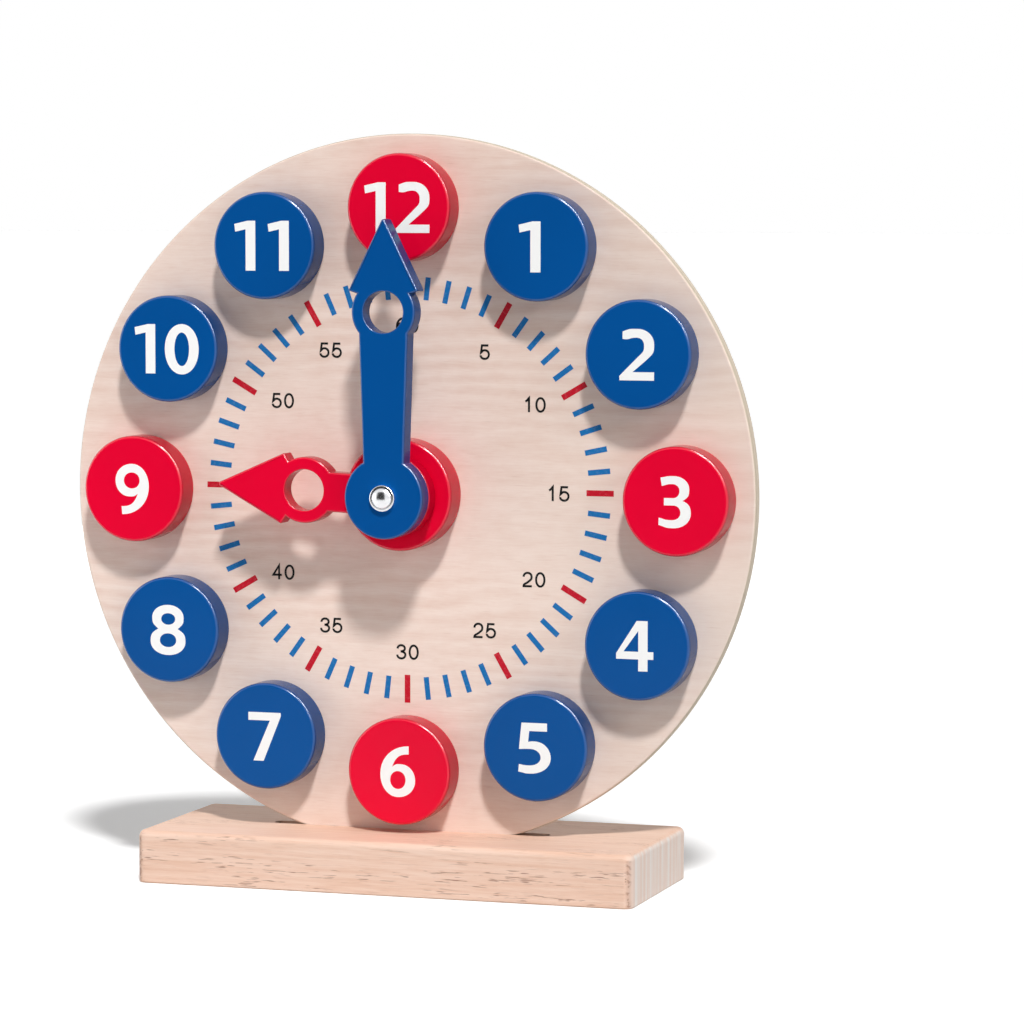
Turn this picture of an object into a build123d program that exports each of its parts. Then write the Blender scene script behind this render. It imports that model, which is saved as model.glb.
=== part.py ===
"""Geared teaching clock.

A round plywood dial stands in a slotted wooden block. Twelve numbered discs sit on pegs round the dial,
and the minute hand turns the hour hand twelve times slower through a small movement on the dial's back.

Millimetres. The origin is the centre of the block's underside, +X to the right of someone who reads the
clock, +Y away from them and +Z up.
"""

import math
import os

from build123d import *

# ---- Standing block ---------------------------------------------------------------------------------
BASE_WIDTH = 159.0
BASE_DEPTH = 61.6
BASE_HEIGHT = 16.3
BASE_CORNER_ROUND = 3.0
BASE_TOP_ROUND = 2.0
BASE_BOTTOM_ROUND = 0.6
SLOT_LENGTH = 90.0
SLOT_DEPTH = 5.3
SLOT_CLEARANCE = 0.1

# ---- Dial -------------------------------------------------------------------------------------------
DIAL_DIAMETER = 220.0
DIAL_THICKNESS = 4.8
DIAL_EDGE_ROUND = 0.8
DIAL_FLAT_DEPTH = 0.5
DIAL_SETBACK = 27.45  # from the block's front to the dial's front

# ---- Number discs and their pegs --------------------------------------------------------------------
HOURS = 12
DISC_DIAMETER = 33.0
DISC_THICKNESS = 9.5
DISC_FRONT_ROUND = 1.0
DISC_BACK_ROUND = 0.5
DISC_RIM_MARGIN = 6.0  # dial left outside a disc
LOWEST_DISC_LIFT = 2.5  # the six sits nearer the middle, so that it clears the block
PEG_DIAMETER = 6.0
PEG_PROUD = 5.0
PEG_TIP_CHAMFER = 0.5
PEG_CLEARANCE = 0.1
SOCKET_END_GAP = 0.6

# ---- Boss, bush, spacer and washer in the middle ----------------------------------------------------
BOSS_DIAMETER = 34.2
BOSS_THICKNESS = 10.0
BUSH_DIAMETER = 10.0
BUSH_FLANGE_DIAMETER = 15.0
BUSH_FLANGE_THICKNESS = 1.5
PIPE_DIAMETER = 7.0
ARBOR_DIAMETER = 4.0
RUNNING_CLEARANCE = 0.05
LOOSE_CLEARANCE = 0.3
SPACER_DIAMETER = 17.0
SPACER_THICKNESS = 0.8
WASHER_DIAMETER = 9.0
WASHER_THICKNESS = 0.4
END_SHAKE = 0.1  # axial play between a turning piece and what stops it

# ---- Hands ------------------------------------------------------------------------------------------
HAND_THICKNESS = 6.0
HAND_EDGE_ROUND = 0.7
HUB_DIAMETER = 25.0
FINGER_RING_DIAMETER = 20.0
FINGER_HOLE_DIAMETER = 12.7
TIP_ROUND = 0.8
BARB_ROUND = 0.9

MINUTE_RING = 56.1  # from the pivot to the middle of the finger ring
MINUTE_BARB_RISE = 6.4  # from there to the barbs
MINUTE_HEAD_LENGTH = 21.6  # from the barbs to the tip
MINUTE_BARB_HALF_WIDTH = 10.9
MINUTE_ARM_WIDTH_AT_HUB = 12.1
MINUTE_ARM_WIDTH_AT_RING = 15.1

HOUR_RING = 28.0
HOUR_BARB_RISE = 7.1
HOUR_HEAD_LENGTH = 21.0
HOUR_BARB_HALF_WIDTH = 10.9
HOUR_ARM_WIDTH_AT_HUB = 12.1
HOUR_ARM_WIDTH_AT_RING = 12.1
HOUR_HAND_HOUR = 9
HOUR_HAND_LEAD = 2.9  # degrees by which the hour hand was fitted ahead of the hour

# ---- Cap nut ----------------------------------------------------------------------------------------
CAP_FLANGE_DIAMETER = 8.0
CAP_FLANGE_THICKNESS = 1.3
CAP_DOME_DIAMETER = 6.2
CAP_DOME_HEIGHT = 1.2
CAP_SOCKET_DEPTH = 0.9
CAP_EDGE_BEVEL = 0.3

# ---- Gears ------------------------------------------------------------------------------------------
MODULE = 0.8
PRESSURE_ANGLE = 25.0
ADDENDUM = 0.8  # in modules
DEDENDUM = 1.05  # in modules
BACKLASH = 0.16
GEAR_WIDTH = 2.6
GEAR_GAP = 0.4
MINUTE_PINION_TEETH = 15
IDLER_WHEEL_TEETH = 45
IDLER_PINION_TEETH = 12
HOUR_WHEEL_TEETH = 48
FLANK_POINTS = 5
STUD_DIAMETER = 3.0
STUD_END_GAP = 0.4

# ---- Movement case ----------------------------------------------------------------------------------
PLATE_THICKNESS = 1.6
COVER_WALL = 1.6
COVER_BACK = 1.8
COVER_BACK_ROUND = 1.2
CASE_CLEARANCE = 1.2
CASE_CORNER_ROUND = 7.0
SCREW_INSET = 4.4
SCREW_POST_DIAMETER = 6.8
SCREW_DIAMETER = 2.4
SCREW_HOLE_CLEARANCE = 0.2
SCREW_HEAD_DIAMETER = 4.8
SCREW_HEAD_HEIGHT = 1.6
SCREW_HEAD_ROUND = 0.6
SCREW_RECESS_DEPTH = 2.2
SCREW_RECESS_CLEARANCE = 0.4
SCREW_GRIP = 3.6  # length of screw inside the dial
CROSS_WIDTH = 0.8
CROSS_LENGTH = 2.6
CROSS_DEPTH = 0.9

# ---- Places worked out from the sizes above ---------------------------------------------------------
DIAL_RADIUS = DIAL_DIAMETER / 2
DISC_CIRCLE_RADIUS = DIAL_RADIUS - DISC_RIM_MARGIN - DISC_DIAMETER / 2
PIVOT_HEIGHT = BASE_HEIGHT - SLOT_DEPTH - DIAL_FLAT_DEPTH + DIAL_RADIUS
DIAL_FRONT_Y = DIAL_SETBACK - BASE_DEPTH / 2
SLOT_Y = DIAL_FRONT_Y + DIAL_THICKNESS / 2

HOUR_HAND_BACK = BOSS_THICKNESS + SPACER_THICKNESS + END_SHAKE
HOUR_HAND_FRONT = HOUR_HAND_BACK + HAND_THICKNESS
MINUTE_HAND_BACK = HOUR_HAND_FRONT + WASHER_THICKNESS + END_SHAKE
MINUTE_HAND_FRONT = MINUTE_HAND_BACK + HAND_THICKNESS

GEAR_CENTRES = MODULE * (MINUTE_PINION_TEETH + IDLER_WHEEL_TEETH) / 2
HOUR_WHEEL_BACK = PLATE_THICKNESS + GEAR_GAP + GEAR_WIDTH
PINION_FRONT = HOUR_WHEEL_BACK + GEAR_GAP
PINION_BACK = PINION_FRONT + GEAR_WIDTH
COVER_INSIDE = PINION_BACK + GEAR_GAP
COVER_OUTSIDE = COVER_INSIDE + COVER_BACK
HOUR_WHEEL_TIP_RADIUS = MODULE * (HOUR_WHEEL_TEETH / 2 + ADDENDUM)
CASE_HALF_WIDTH = HOUR_WHEEL_TIP_RADIUS + CASE_CLEARANCE + COVER_WALL
CASE_WIDTH = 2 * CASE_HALF_WIDTH
CASE_HEIGHT = CASE_WIDTH + GEAR_CENTRES

FULL_TURN = 360.0
DEGREES_PER_HOUR = FULL_TURN / HOURS

# The pivot on the dial's front: local X is +X, local Y is +Z, and the normal points at the reader.
FRONT = Plane(origin=(0, DIAL_FRONT_Y, PIVOT_HEIGHT), x_dir=(1, 0, 0), z_dir=(0, -1, 0))
# For turned pieces: local X is the radius and local Y the distance in front of the dial.
TURNING_PLANE = Plane(origin=FRONT.origin, x_dir=(1, 0, 0), z_dir=(0, 0, -1))


def in_front(distance):
    """Plane parallel to the dial, this far in front of its printed side."""
    return FRONT.offset(distance)


def behind(distance):
    """Plane parallel to the dial, this far behind its back. Extrusions from it still run forwards."""
    return FRONT.offset(-DIAL_THICKNESS - distance)


def clock_point(radius, hour):
    """Local position on the dial at an hour and a distance from the pivot."""
    angle = math.radians(DEGREES_PER_HOUR * hour)
    return (radius * math.sin(angle), radius * math.cos(angle))


def disc_centre(hour):
    """Local position of an hour's disc and peg."""
    lift = LOWEST_DISC_LIFT if hour == HOURS / 2 else 0.0
    return clock_point(DISC_CIRCLE_RADIUS - lift, hour)


def save(piece, name):
    """Label a finished piece and write its STEP file."""
    piece.part.label = name
    export_step(piece.part, f"parts/{name}.step")


def tooth_sketch(teeth):
    """One involute tooth that points along local +Y, with a foot sunk into the root circle."""
    pitch_radius = MODULE * teeth / 2
    base_radius = pitch_radius * math.cos(math.radians(PRESSURE_ANGLE))
    root_radius = pitch_radius - DEDENDUM * MODULE
    tip_radius = pitch_radius + ADDENDUM * MODULE
    pressure = math.radians(PRESSURE_ANGLE)
    half_angle = (math.pi * MODULE - BACKLASH) / (4 * pitch_radius)

    def flank_point(radius, side):
        local_pressure = math.acos(min(1.0, base_radius / radius))
        involute = math.tan(local_pressure) - local_pressure
        angle = side * (half_angle + math.tan(pressure) - pressure - involute)
        return (radius * math.sin(angle), radius * math.cos(angle))

    start = max(base_radius, root_radius)
    steps = [start + (tip_radius - start) * i / (FLANK_POINTS - 1) for i in range(FLANK_POINTS)]
    left = [flank_point(radius, -1) for radius in steps]
    right = [flank_point(radius, 1) for radius in steps]
    foot = (root_radius - MODULE / 2) / start
    with BuildSketch() as tooth:
        with BuildLine():
            Spline(*left)
            ThreePointArc(left[-1], (0, tip_radius), right[-1])
            Spline(*right)
            Polyline(
                right[0],
                (right[0][0] * foot, right[0][1] * foot),
                (left[0][0] * foot, left[0][1] * foot),
                left[0],
            )
        make_face()
    return tooth.sketch


def root_circle_radius(teeth):
    """Radius at the bottom of the tooth spaces."""
    return MODULE * (teeth / 2 - DEDENDUM)


def hand_sketch(ring, barb_rise, head_length, barb_half_width, arm_at_hub, arm_at_ring, bore_radius):
    """Outline of a hand that points along local +Y: hub, tapering arm, finger ring and arrow head."""
    barb = ring + barb_rise
    tip = barb + head_length
    ring_radius = FINGER_RING_DIAMETER / 2
    notch_angle = math.atan2(barb_rise, barb_half_width) * 3 / 4
    notch_x = ring_radius * math.cos(notch_angle)
    notch_y = ring + ring_radius * math.sin(notch_angle)
    barb_edge = math.dist((notch_x, notch_y), (barb_half_width, barb))
    with BuildSketch() as hand:
        Circle(HUB_DIAMETER / 2)
        with BuildLine():
            Polyline(
                (-arm_at_hub / 2, 0),
                (-arm_at_ring / 2, ring),
                (arm_at_ring / 2, ring),
                (arm_at_hub / 2, 0),
                close=True,
            )
        make_face()
        with BuildLine():
            Polyline(
                (0, tip),
                (barb_half_width, barb),
                (notch_x, notch_y),
                (0, ring),
                (-notch_x, notch_y),
                (-barb_half_width, barb),
                close=True,
            )
        make_face()
        with Locations((0, ring)):
            Circle(ring_radius)
        corners = hand.vertices().sort_by(Axis.Y)
        fillet(corners[-1], radius=TIP_ROUND)
        barbs = hand.vertices().filter_by(lambda corner: abs(abs(corner.X) - barb_half_width) < 0.01)
        fillet(barbs, radius=min(BARB_ROUND, barb_edge / 2))
        with Locations((0, ring)):
            Circle(FINGER_HOLE_DIAMETER / 2, mode=Mode.SUBTRACT)
        Circle(bore_radius, mode=Mode.SUBTRACT)
    return hand.sketch


os.makedirs("parts", exist_ok=True)

# ---- Standing block ---------------------------------------------------------------------------------
with BuildPart() as stand_base:
    with BuildSketch(Plane.XY):
        RectangleRounded(BASE_WIDTH, BASE_DEPTH, BASE_CORNER_ROUND)
    extrude(amount=BASE_HEIGHT)
    fillet(stand_base.faces().sort_by(Axis.Z)[-1].edges(), radius=BASE_TOP_ROUND)
    fillet(stand_base.faces().sort_by(Axis.Z)[0].edges(), radius=BASE_BOTTOM_ROUND)
    with BuildSketch(Plane.XY.offset(BASE_HEIGHT)):
        with Locations((0, SLOT_Y)):
            SlotOverall(SLOT_LENGTH, DIAL_THICKNESS + 2 * SLOT_CLEARANCE)
    extrude(amount=-SLOT_DEPTH, mode=Mode.SUBTRACT)
save(stand_base, "stand_base")

# ---- Dial -------------------------------------------------------------------------------------------
SCREW_X = CASE_HALF_WIDTH - SCREW_INSET
SCREW_SPACING_Y = CASE_HEIGHT - 2 * SCREW_INSET
CASE_CENTRE = (0, -GEAR_CENTRES / 2)

with BuildPart() as dial_face:
    with BuildSketch(FRONT):
        Circle(DIAL_RADIUS)
    extrude(amount=-DIAL_THICKNESS)
    fillet(dial_face.edges().filter_by(GeomType.CIRCLE), radius=DIAL_EDGE_ROUND)
    with BuildSketch(FRONT):
        with Locations((0, -DIAL_RADIUS)):
            Rectangle(DIAL_RADIUS, 2 * DIAL_FLAT_DEPTH)
        Circle(BUSH_DIAMETER / 2)
        with Locations(*[disc_centre(hour) for hour in range(1, HOURS + 1)]):
            Circle(PEG_DIAMETER / 2)
    extrude(amount=-DIAL_THICKNESS, mode=Mode.SUBTRACT)
    with BuildSketch(behind(0)):
        with Locations(CASE_CENTRE):
            with GridLocations(2 * SCREW_X, SCREW_SPACING_Y, 2, 2):
                Circle(SCREW_DIAMETER / 2)
    extrude(amount=SCREW_GRIP, mode=Mode.SUBTRACT)
save(dial_face, "dial_face")

# ---- Number discs on their pegs ---------------------------------------------------------------------
for hour in range(1, HOURS + 1):
    with BuildPart() as number_peg:
        with BuildSketch(behind(0)):
            with Locations(disc_centre(hour)):
                Circle(PEG_DIAMETER / 2)
        extrude(amount=DIAL_THICKNESS + PEG_PROUD)
        chamfer(number_peg.faces().sort_by(Axis.Y)[0].edges(), length=PEG_TIP_CHAMFER)
    save(number_peg, f"number_peg_{hour:02d}")

    with BuildPart() as number_disc:
        with BuildSketch(FRONT):
            with Locations(disc_centre(hour)):
                Circle(DISC_DIAMETER / 2)
        extrude(amount=DISC_THICKNESS)
        fillet(number_disc.faces().sort_by(Axis.Y)[0].edges(), radius=DISC_FRONT_ROUND)
        fillet(number_disc.faces().sort_by(Axis.Y)[-1].edges(), radius=DISC_BACK_ROUND)
        with BuildSketch(FRONT):
            with Locations(disc_centre(hour)):
                Circle(PEG_DIAMETER / 2 + PEG_CLEARANCE)
        extrude(amount=PEG_PROUD + SOCKET_END_GAP, mode=Mode.SUBTRACT)
    save(number_disc, f"number_disc_{hour:02d}")

# ---- Boss, bush and spacer --------------------------------------------------------------------------
with BuildPart() as centre_boss:
    with BuildSketch(FRONT):
        Circle(BOSS_DIAMETER / 2)
    extrude(amount=BOSS_THICKNESS)
    fillet(centre_boss.faces().sort_by(Axis.Y)[0].edges(), radius=DISC_FRONT_ROUND)
    fillet(centre_boss.faces().sort_by(Axis.Y)[-1].edges(), radius=DISC_BACK_ROUND)
    with BuildSketch(FRONT):
        Circle(BUSH_DIAMETER / 2)
    extrude(amount=BOSS_THICKNESS, mode=Mode.SUBTRACT)
    with BuildSketch(in_front(BOSS_THICKNESS)):
        Circle(BUSH_FLANGE_DIAMETER / 2)
    extrude(amount=-BUSH_FLANGE_THICKNESS, mode=Mode.SUBTRACT)
save(centre_boss, "centre_boss")

with BuildPart() as centre_bush:
    with BuildSketch(behind(PLATE_THICKNESS)):
        Circle(BUSH_DIAMETER / 2)
    extrude(amount=PLATE_THICKNESS + DIAL_THICKNESS + BOSS_THICKNESS)
    with BuildSketch(in_front(BOSS_THICKNESS)):
        Circle(BUSH_FLANGE_DIAMETER / 2)
    extrude(amount=-BUSH_FLANGE_THICKNESS)
    with BuildSketch(behind(PLATE_THICKNESS)):
        Circle(PIPE_DIAMETER / 2 + RUNNING_CLEARANCE)
    extrude(amount=PLATE_THICKNESS + DIAL_THICKNESS + BOSS_THICKNESS, mode=Mode.SUBTRACT)
save(centre_bush, "centre_bush")

with BuildPart() as hour_spacer:
    with BuildSketch(in_front(BOSS_THICKNESS)):
        Circle(SPACER_DIAMETER / 2)
        Circle(PIPE_DIAMETER / 2 + LOOSE_CLEARANCE, mode=Mode.SUBTRACT)
    extrude(amount=SPACER_THICKNESS)
save(hour_spacer, "hour_spacer")

# ---- Hands ------------------------------------------------------------------------------------------
minute_outline = hand_sketch(
    MINUTE_RING,
    MINUTE_BARB_RISE,
    MINUTE_HEAD_LENGTH,
    MINUTE_BARB_HALF_WIDTH,
    MINUTE_ARM_WIDTH_AT_HUB,
    MINUTE_ARM_WIDTH_AT_RING,
    ARBOR_DIAMETER / 2,
)
hour_outline = hand_sketch(
    HOUR_RING,
    HOUR_BARB_RISE,
    HOUR_HEAD_LENGTH,
    HOUR_BARB_HALF_WIDTH,
    HOUR_ARM_WIDTH_AT_HUB,
    HOUR_ARM_WIDTH_AT_RING,
    PIPE_DIAMETER / 2,
)
hour_hand_turn = -(HOUR_HAND_HOUR * DEGREES_PER_HOUR + HOUR_HAND_LEAD)

with BuildPart() as minute_hand:
    with BuildSketch(in_front(MINUTE_HAND_BACK)):
        add(minute_outline)
    extrude(amount=HAND_THICKNESS)
    fillet(minute_hand.faces().sort_by(Axis.Y)[0].outer_wire().edges(), radius=HAND_EDGE_ROUND)
save(minute_hand, "minute_hand")

with BuildPart() as hour_hand:
    with BuildSketch(in_front(HOUR_HAND_BACK)):
        add(hour_outline, rotation=hour_hand_turn)
    extrude(amount=HAND_THICKNESS)
    fillet(hour_hand.faces().sort_by(Axis.Y)[0].outer_wire().edges(), radius=HAND_EDGE_ROUND)
save(hour_hand, "hour_hand")

with BuildPart() as hand_washer:
    with BuildSketch(in_front(HOUR_HAND_FRONT)):
        Circle(WASHER_DIAMETER / 2)
        Circle(ARBOR_DIAMETER / 2 + LOOSE_CLEARANCE, mode=Mode.SUBTRACT)
    extrude(amount=WASHER_THICKNESS)
save(hand_washer, "hand_washer")

cap_top = MINUTE_HAND_FRONT + CAP_FLANGE_THICKNESS
dome_radius = (CAP_DOME_DIAMETER**2 / 4 + CAP_DOME_HEIGHT**2) / (2 * CAP_DOME_HEIGHT)
dome_shoulder_x = CAP_DOME_DIAMETER / 4
dome_drop = dome_radius - math.sqrt(dome_radius**2 - dome_shoulder_x**2)
with BuildPart() as cap_nut:
    with BuildSketch(TURNING_PLANE):
        with BuildLine():
            ThreePointArc(
                (0, cap_top + CAP_DOME_HEIGHT),
                (dome_shoulder_x, cap_top + CAP_DOME_HEIGHT - dome_drop),
                (CAP_DOME_DIAMETER / 2, cap_top),
            )
            Polyline(
                (CAP_DOME_DIAMETER / 2, cap_top),
                (CAP_FLANGE_DIAMETER / 2 - CAP_EDGE_BEVEL, cap_top),
                (CAP_FLANGE_DIAMETER / 2, cap_top - CAP_EDGE_BEVEL),
                (CAP_FLANGE_DIAMETER / 2, MINUTE_HAND_FRONT),
                (ARBOR_DIAMETER / 2, MINUTE_HAND_FRONT),
                (ARBOR_DIAMETER / 2, MINUTE_HAND_FRONT + CAP_SOCKET_DEPTH),
                (0, MINUTE_HAND_FRONT + CAP_SOCKET_DEPTH),
                (0, cap_top + CAP_DOME_HEIGHT),
            )
        make_face()
    revolve(axis=Axis(FRONT.origin, (0, 1, 0)))
save(cap_nut, "cap_nut")

# ---- Arbor, gears and stud --------------------------------------------------------------------------
arbor_end_behind = COVER_OUTSIDE - END_SHAKE
with BuildPart() as minute_arbor:
    with BuildSketch(behind(arbor_end_behind)):
        Circle(ARBOR_DIAMETER / 2)
    extrude(amount=arbor_end_behind + DIAL_THICKNESS + MINUTE_HAND_FRONT + CAP_SOCKET_DEPTH)
save(minute_arbor, "minute_arbor")

minute_pinion_tooth = tooth_sketch(MINUTE_PINION_TEETH)
idler_wheel_tooth = tooth_sketch(IDLER_WHEEL_TEETH)
idler_pinion_tooth = tooth_sketch(IDLER_PINION_TEETH)
hour_wheel_tooth = tooth_sketch(HOUR_WHEEL_TEETH)

# A tooth of the pinion and of the hour wheel points down the line of centres at the idler, and a space
# of each idler gear points back up at it. Teeth start on local +Y and are counted from there.
DOWN = 180.0


def tooth_angles(teeth, first):
    """Turn of every tooth of a gear, from the first one's angle."""
    return [first + FULL_TURN * i / teeth for i in range(teeth)]


with BuildPart() as minute_pinion:
    with BuildSketch(behind(PINION_BACK)):
        Circle(root_circle_radius(MINUTE_PINION_TEETH))
        for angle in tooth_angles(MINUTE_PINION_TEETH, DOWN):
            add(minute_pinion_tooth, rotation=angle)
        Circle(ARBOR_DIAMETER / 2, mode=Mode.SUBTRACT)
    extrude(amount=GEAR_WIDTH)
save(minute_pinion, "minute_pinion")

with BuildPart() as hour_wheel:
    with BuildSketch(behind(HOUR_WHEEL_BACK)):
        Circle(root_circle_radius(HOUR_WHEEL_TEETH))
        for angle in tooth_angles(HOUR_WHEEL_TEETH, DOWN):
            add(hour_wheel_tooth, rotation=angle)
    extrude(amount=GEAR_WIDTH)
    pipe_length = HOUR_WHEEL_BACK + DIAL_THICKNESS + HOUR_HAND_FRONT - END_SHAKE
    with BuildSketch(behind(HOUR_WHEEL_BACK)):
        Circle(PIPE_DIAMETER / 2)
    extrude(amount=pipe_length)
    with BuildSketch(behind(HOUR_WHEEL_BACK)):
        Circle(ARBOR_DIAMETER / 2 + RUNNING_CLEARANCE)
    extrude(amount=pipe_length, mode=Mode.SUBTRACT)
save(hour_wheel, "hour_wheel")

idler_place = Location((0, -GEAR_CENTRES))
with BuildPart() as idler_gear:
    with BuildSketch(behind(PINION_BACK)):
        with Locations(idler_place):
            Circle(root_circle_radius(IDLER_WHEEL_TEETH))
            for angle in tooth_angles(IDLER_WHEEL_TEETH, DOWN / IDLER_WHEEL_TEETH):
                add(idler_wheel_tooth, rotation=angle)
    extrude(amount=GEAR_WIDTH)
    with BuildSketch(behind(PINION_FRONT)):
        with Locations(idler_place):
            Circle(root_circle_radius(IDLER_PINION_TEETH))
            for angle in tooth_angles(IDLER_PINION_TEETH, DOWN / IDLER_PINION_TEETH):
                add(idler_pinion_tooth, rotation=angle)
    extrude(amount=GEAR_GAP + GEAR_WIDTH)
    with BuildSketch(behind(PINION_BACK)):
        with Locations(idler_place):
            Circle(STUD_DIAMETER / 2 + RUNNING_CLEARANCE)
    extrude(amount=PINION_BACK, mode=Mode.SUBTRACT)
save(idler_gear, "idler_gear")

with BuildPart() as idler_stud:
    with BuildSketch(behind(COVER_OUTSIDE - STUD_END_GAP)):
        with Locations(idler_place):
            Circle(STUD_DIAMETER / 2)
    extrude(amount=COVER_OUTSIDE - STUD_END_GAP)
save(idler_stud, "idler_stud")

# ---- Movement case ----------------------------------------------------------------------------------
with BuildPart() as movement_plate:
    with BuildSketch(behind(PLATE_THICKNESS)):
        with Locations(CASE_CENTRE):
            RectangleRounded(CASE_WIDTH, CASE_HEIGHT, CASE_CORNER_ROUND)
            with GridLocations(2 * SCREW_X, SCREW_SPACING_Y, 2, 2):
                Circle(SCREW_DIAMETER / 2 + SCREW_HOLE_CLEARANCE, mode=Mode.SUBTRACT)
        Circle(BUSH_DIAMETER / 2, mode=Mode.SUBTRACT)
        with Locations(idler_place):
            Circle(STUD_DIAMETER / 2, mode=Mode.SUBTRACT)
    extrude(amount=PLATE_THICKNESS)
save(movement_plate, "movement_plate")

with BuildPart() as movement_cover:
    with BuildSketch(behind(COVER_OUTSIDE)):
        with Locations(CASE_CENTRE):
            RectangleRounded(CASE_WIDTH, CASE_HEIGHT, CASE_CORNER_ROUND)
    extrude(amount=COVER_OUTSIDE - PLATE_THICKNESS)
    fillet(movement_cover.faces().sort_by(Axis.Y)[-1].edges(), radius=COVER_BACK_ROUND)
    with BuildSketch(behind(COVER_INSIDE)):
        with Locations(CASE_CENTRE):
            RectangleRounded(
                CASE_WIDTH - 2 * COVER_WALL,
                CASE_HEIGHT - 2 * COVER_WALL,
                CASE_CORNER_ROUND - COVER_WALL,
            )
            with GridLocations(2 * SCREW_X, SCREW_SPACING_Y, 2, 2):
                Circle(SCREW_POST_DIAMETER / 2, mode=Mode.SUBTRACT)
    extrude(amount=COVER_INSIDE - PLATE_THICKNESS, mode=Mode.SUBTRACT)
    with BuildSketch(behind(COVER_OUTSIDE)):
        with Locations(CASE_CENTRE):
            with GridLocations(2 * SCREW_X, SCREW_SPACING_Y, 2, 2):
                Circle(SCREW_DIAMETER / 2 + SCREW_HOLE_CLEARANCE)
        Circle(ARBOR_DIAMETER / 2 + RUNNING_CLEARANCE)
        with Locations(idler_place):
            Circle(STUD_DIAMETER / 2)
    extrude(amount=COVER_OUTSIDE, mode=Mode.SUBTRACT)
    with BuildSketch(behind(COVER_OUTSIDE)):
        with Locations(CASE_CENTRE):
            with GridLocations(2 * SCREW_X, SCREW_SPACING_Y, 2, 2):
                Circle(SCREW_HEAD_DIAMETER / 2 + SCREW_RECESS_CLEARANCE)
    extrude(amount=SCREW_RECESS_DEPTH, mode=Mode.SUBTRACT)
save(movement_cover, "movement_cover")

head_seat = COVER_OUTSIDE - SCREW_RECESS_DEPTH
with BuildPart() as cover_screws:
    with BuildSketch(behind(head_seat)):
        with Locations(CASE_CENTRE):
            with GridLocations(2 * SCREW_X, SCREW_SPACING_Y, 2, 2):
                Circle(SCREW_DIAMETER / 2)
    extrude(amount=head_seat + SCREW_GRIP)
    with BuildSketch(behind(head_seat + SCREW_HEAD_HEIGHT)):
        with Locations(CASE_CENTRE):
            with GridLocations(2 * SCREW_X, SCREW_SPACING_Y, 2, 2):
                Circle(SCREW_HEAD_DIAMETER / 2)
    extrude(amount=SCREW_HEAD_HEIGHT)
    fillet(cover_screws.faces().group_by(Axis.Y)[-1].edges(), radius=SCREW_HEAD_ROUND)
    with BuildSketch(behind(head_seat + SCREW_HEAD_HEIGHT)):
        with Locations(CASE_CENTRE):
            with GridLocations(2 * SCREW_X, SCREW_SPACING_Y, 2, 2):
                Rectangle(CROSS_LENGTH, CROSS_WIDTH)
                Rectangle(CROSS_WIDTH, CROSS_LENGTH)
    extrude(amount=CROSS_DEPTH, mode=Mode.SUBTRACT)
save(cover_screws, "cover_screws")
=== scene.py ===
"""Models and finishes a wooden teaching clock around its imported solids."""

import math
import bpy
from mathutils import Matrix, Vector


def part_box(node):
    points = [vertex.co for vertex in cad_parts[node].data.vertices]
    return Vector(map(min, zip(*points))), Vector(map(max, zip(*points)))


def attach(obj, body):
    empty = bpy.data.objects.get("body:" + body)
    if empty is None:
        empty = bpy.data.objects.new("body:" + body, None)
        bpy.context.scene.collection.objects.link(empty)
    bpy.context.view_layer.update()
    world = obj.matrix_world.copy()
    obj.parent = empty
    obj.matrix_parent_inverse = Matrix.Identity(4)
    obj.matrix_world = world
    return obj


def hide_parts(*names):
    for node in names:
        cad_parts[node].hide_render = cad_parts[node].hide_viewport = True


bl_info = {
    "name": "Teaching Clock",
    "version": (1, 0, 0),
    "blender": (4, 5, 0),
    "location": "View3D > Sidebar > Clock",
    "description": "Builds the looks of a wooden teaching clock with geared hands",
    "category": "Add Mesh",
}

import bmesh
import bpy
from bpy.props import FloatProperty, FloatVectorProperty, PointerProperty
from mathutils import Matrix, Vector

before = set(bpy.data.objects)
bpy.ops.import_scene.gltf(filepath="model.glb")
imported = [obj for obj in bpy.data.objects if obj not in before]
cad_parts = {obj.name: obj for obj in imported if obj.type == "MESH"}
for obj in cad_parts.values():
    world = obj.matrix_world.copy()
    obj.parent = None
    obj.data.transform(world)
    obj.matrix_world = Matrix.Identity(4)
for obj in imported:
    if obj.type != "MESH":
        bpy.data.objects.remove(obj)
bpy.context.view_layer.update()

MM = 0.001
TURN = 2 * math.pi
QUARTER = math.pi / 2
HOURS = 12
MINUTES = 60
RED_HOURS = (3, 6, 9, 12)
TOUCH = 1e-6  # two places nearer than this are one place

# Facts of the solids that the pieces are built on.
DIAL_LOW, DIAL_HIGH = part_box("dial_face")
DIAL_RADIUS = (DIAL_HIGH.x - DIAL_LOW.x) / 2
PIVOT = Vector((DIAL_HIGH.x - DIAL_RADIUS, DIAL_LOW.y, DIAL_HIGH.z - DIAL_RADIUS))


def tone(code):
    """Linear colour of a six-digit screen colour."""
    channels = [int(code[i : i + 2], 16) / 255 for i in (0, 2, 4)]
    return tuple(c / 12.92 if c <= 0.04045 else ((c + 0.055) / 1.055) ** 2.4 for c in channels)


def colour_setting(name, code, description):
    return FloatVectorProperty(
        name=name, description=description, default=tone(code), subtype="COLOR", size=3, min=0, max=1
    )


def length_setting(name, millimetres, description):
    return FloatProperty(
        name=name, description=description, default=millimetres * MM, unit="LENGTH", precision=5
    )


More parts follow.
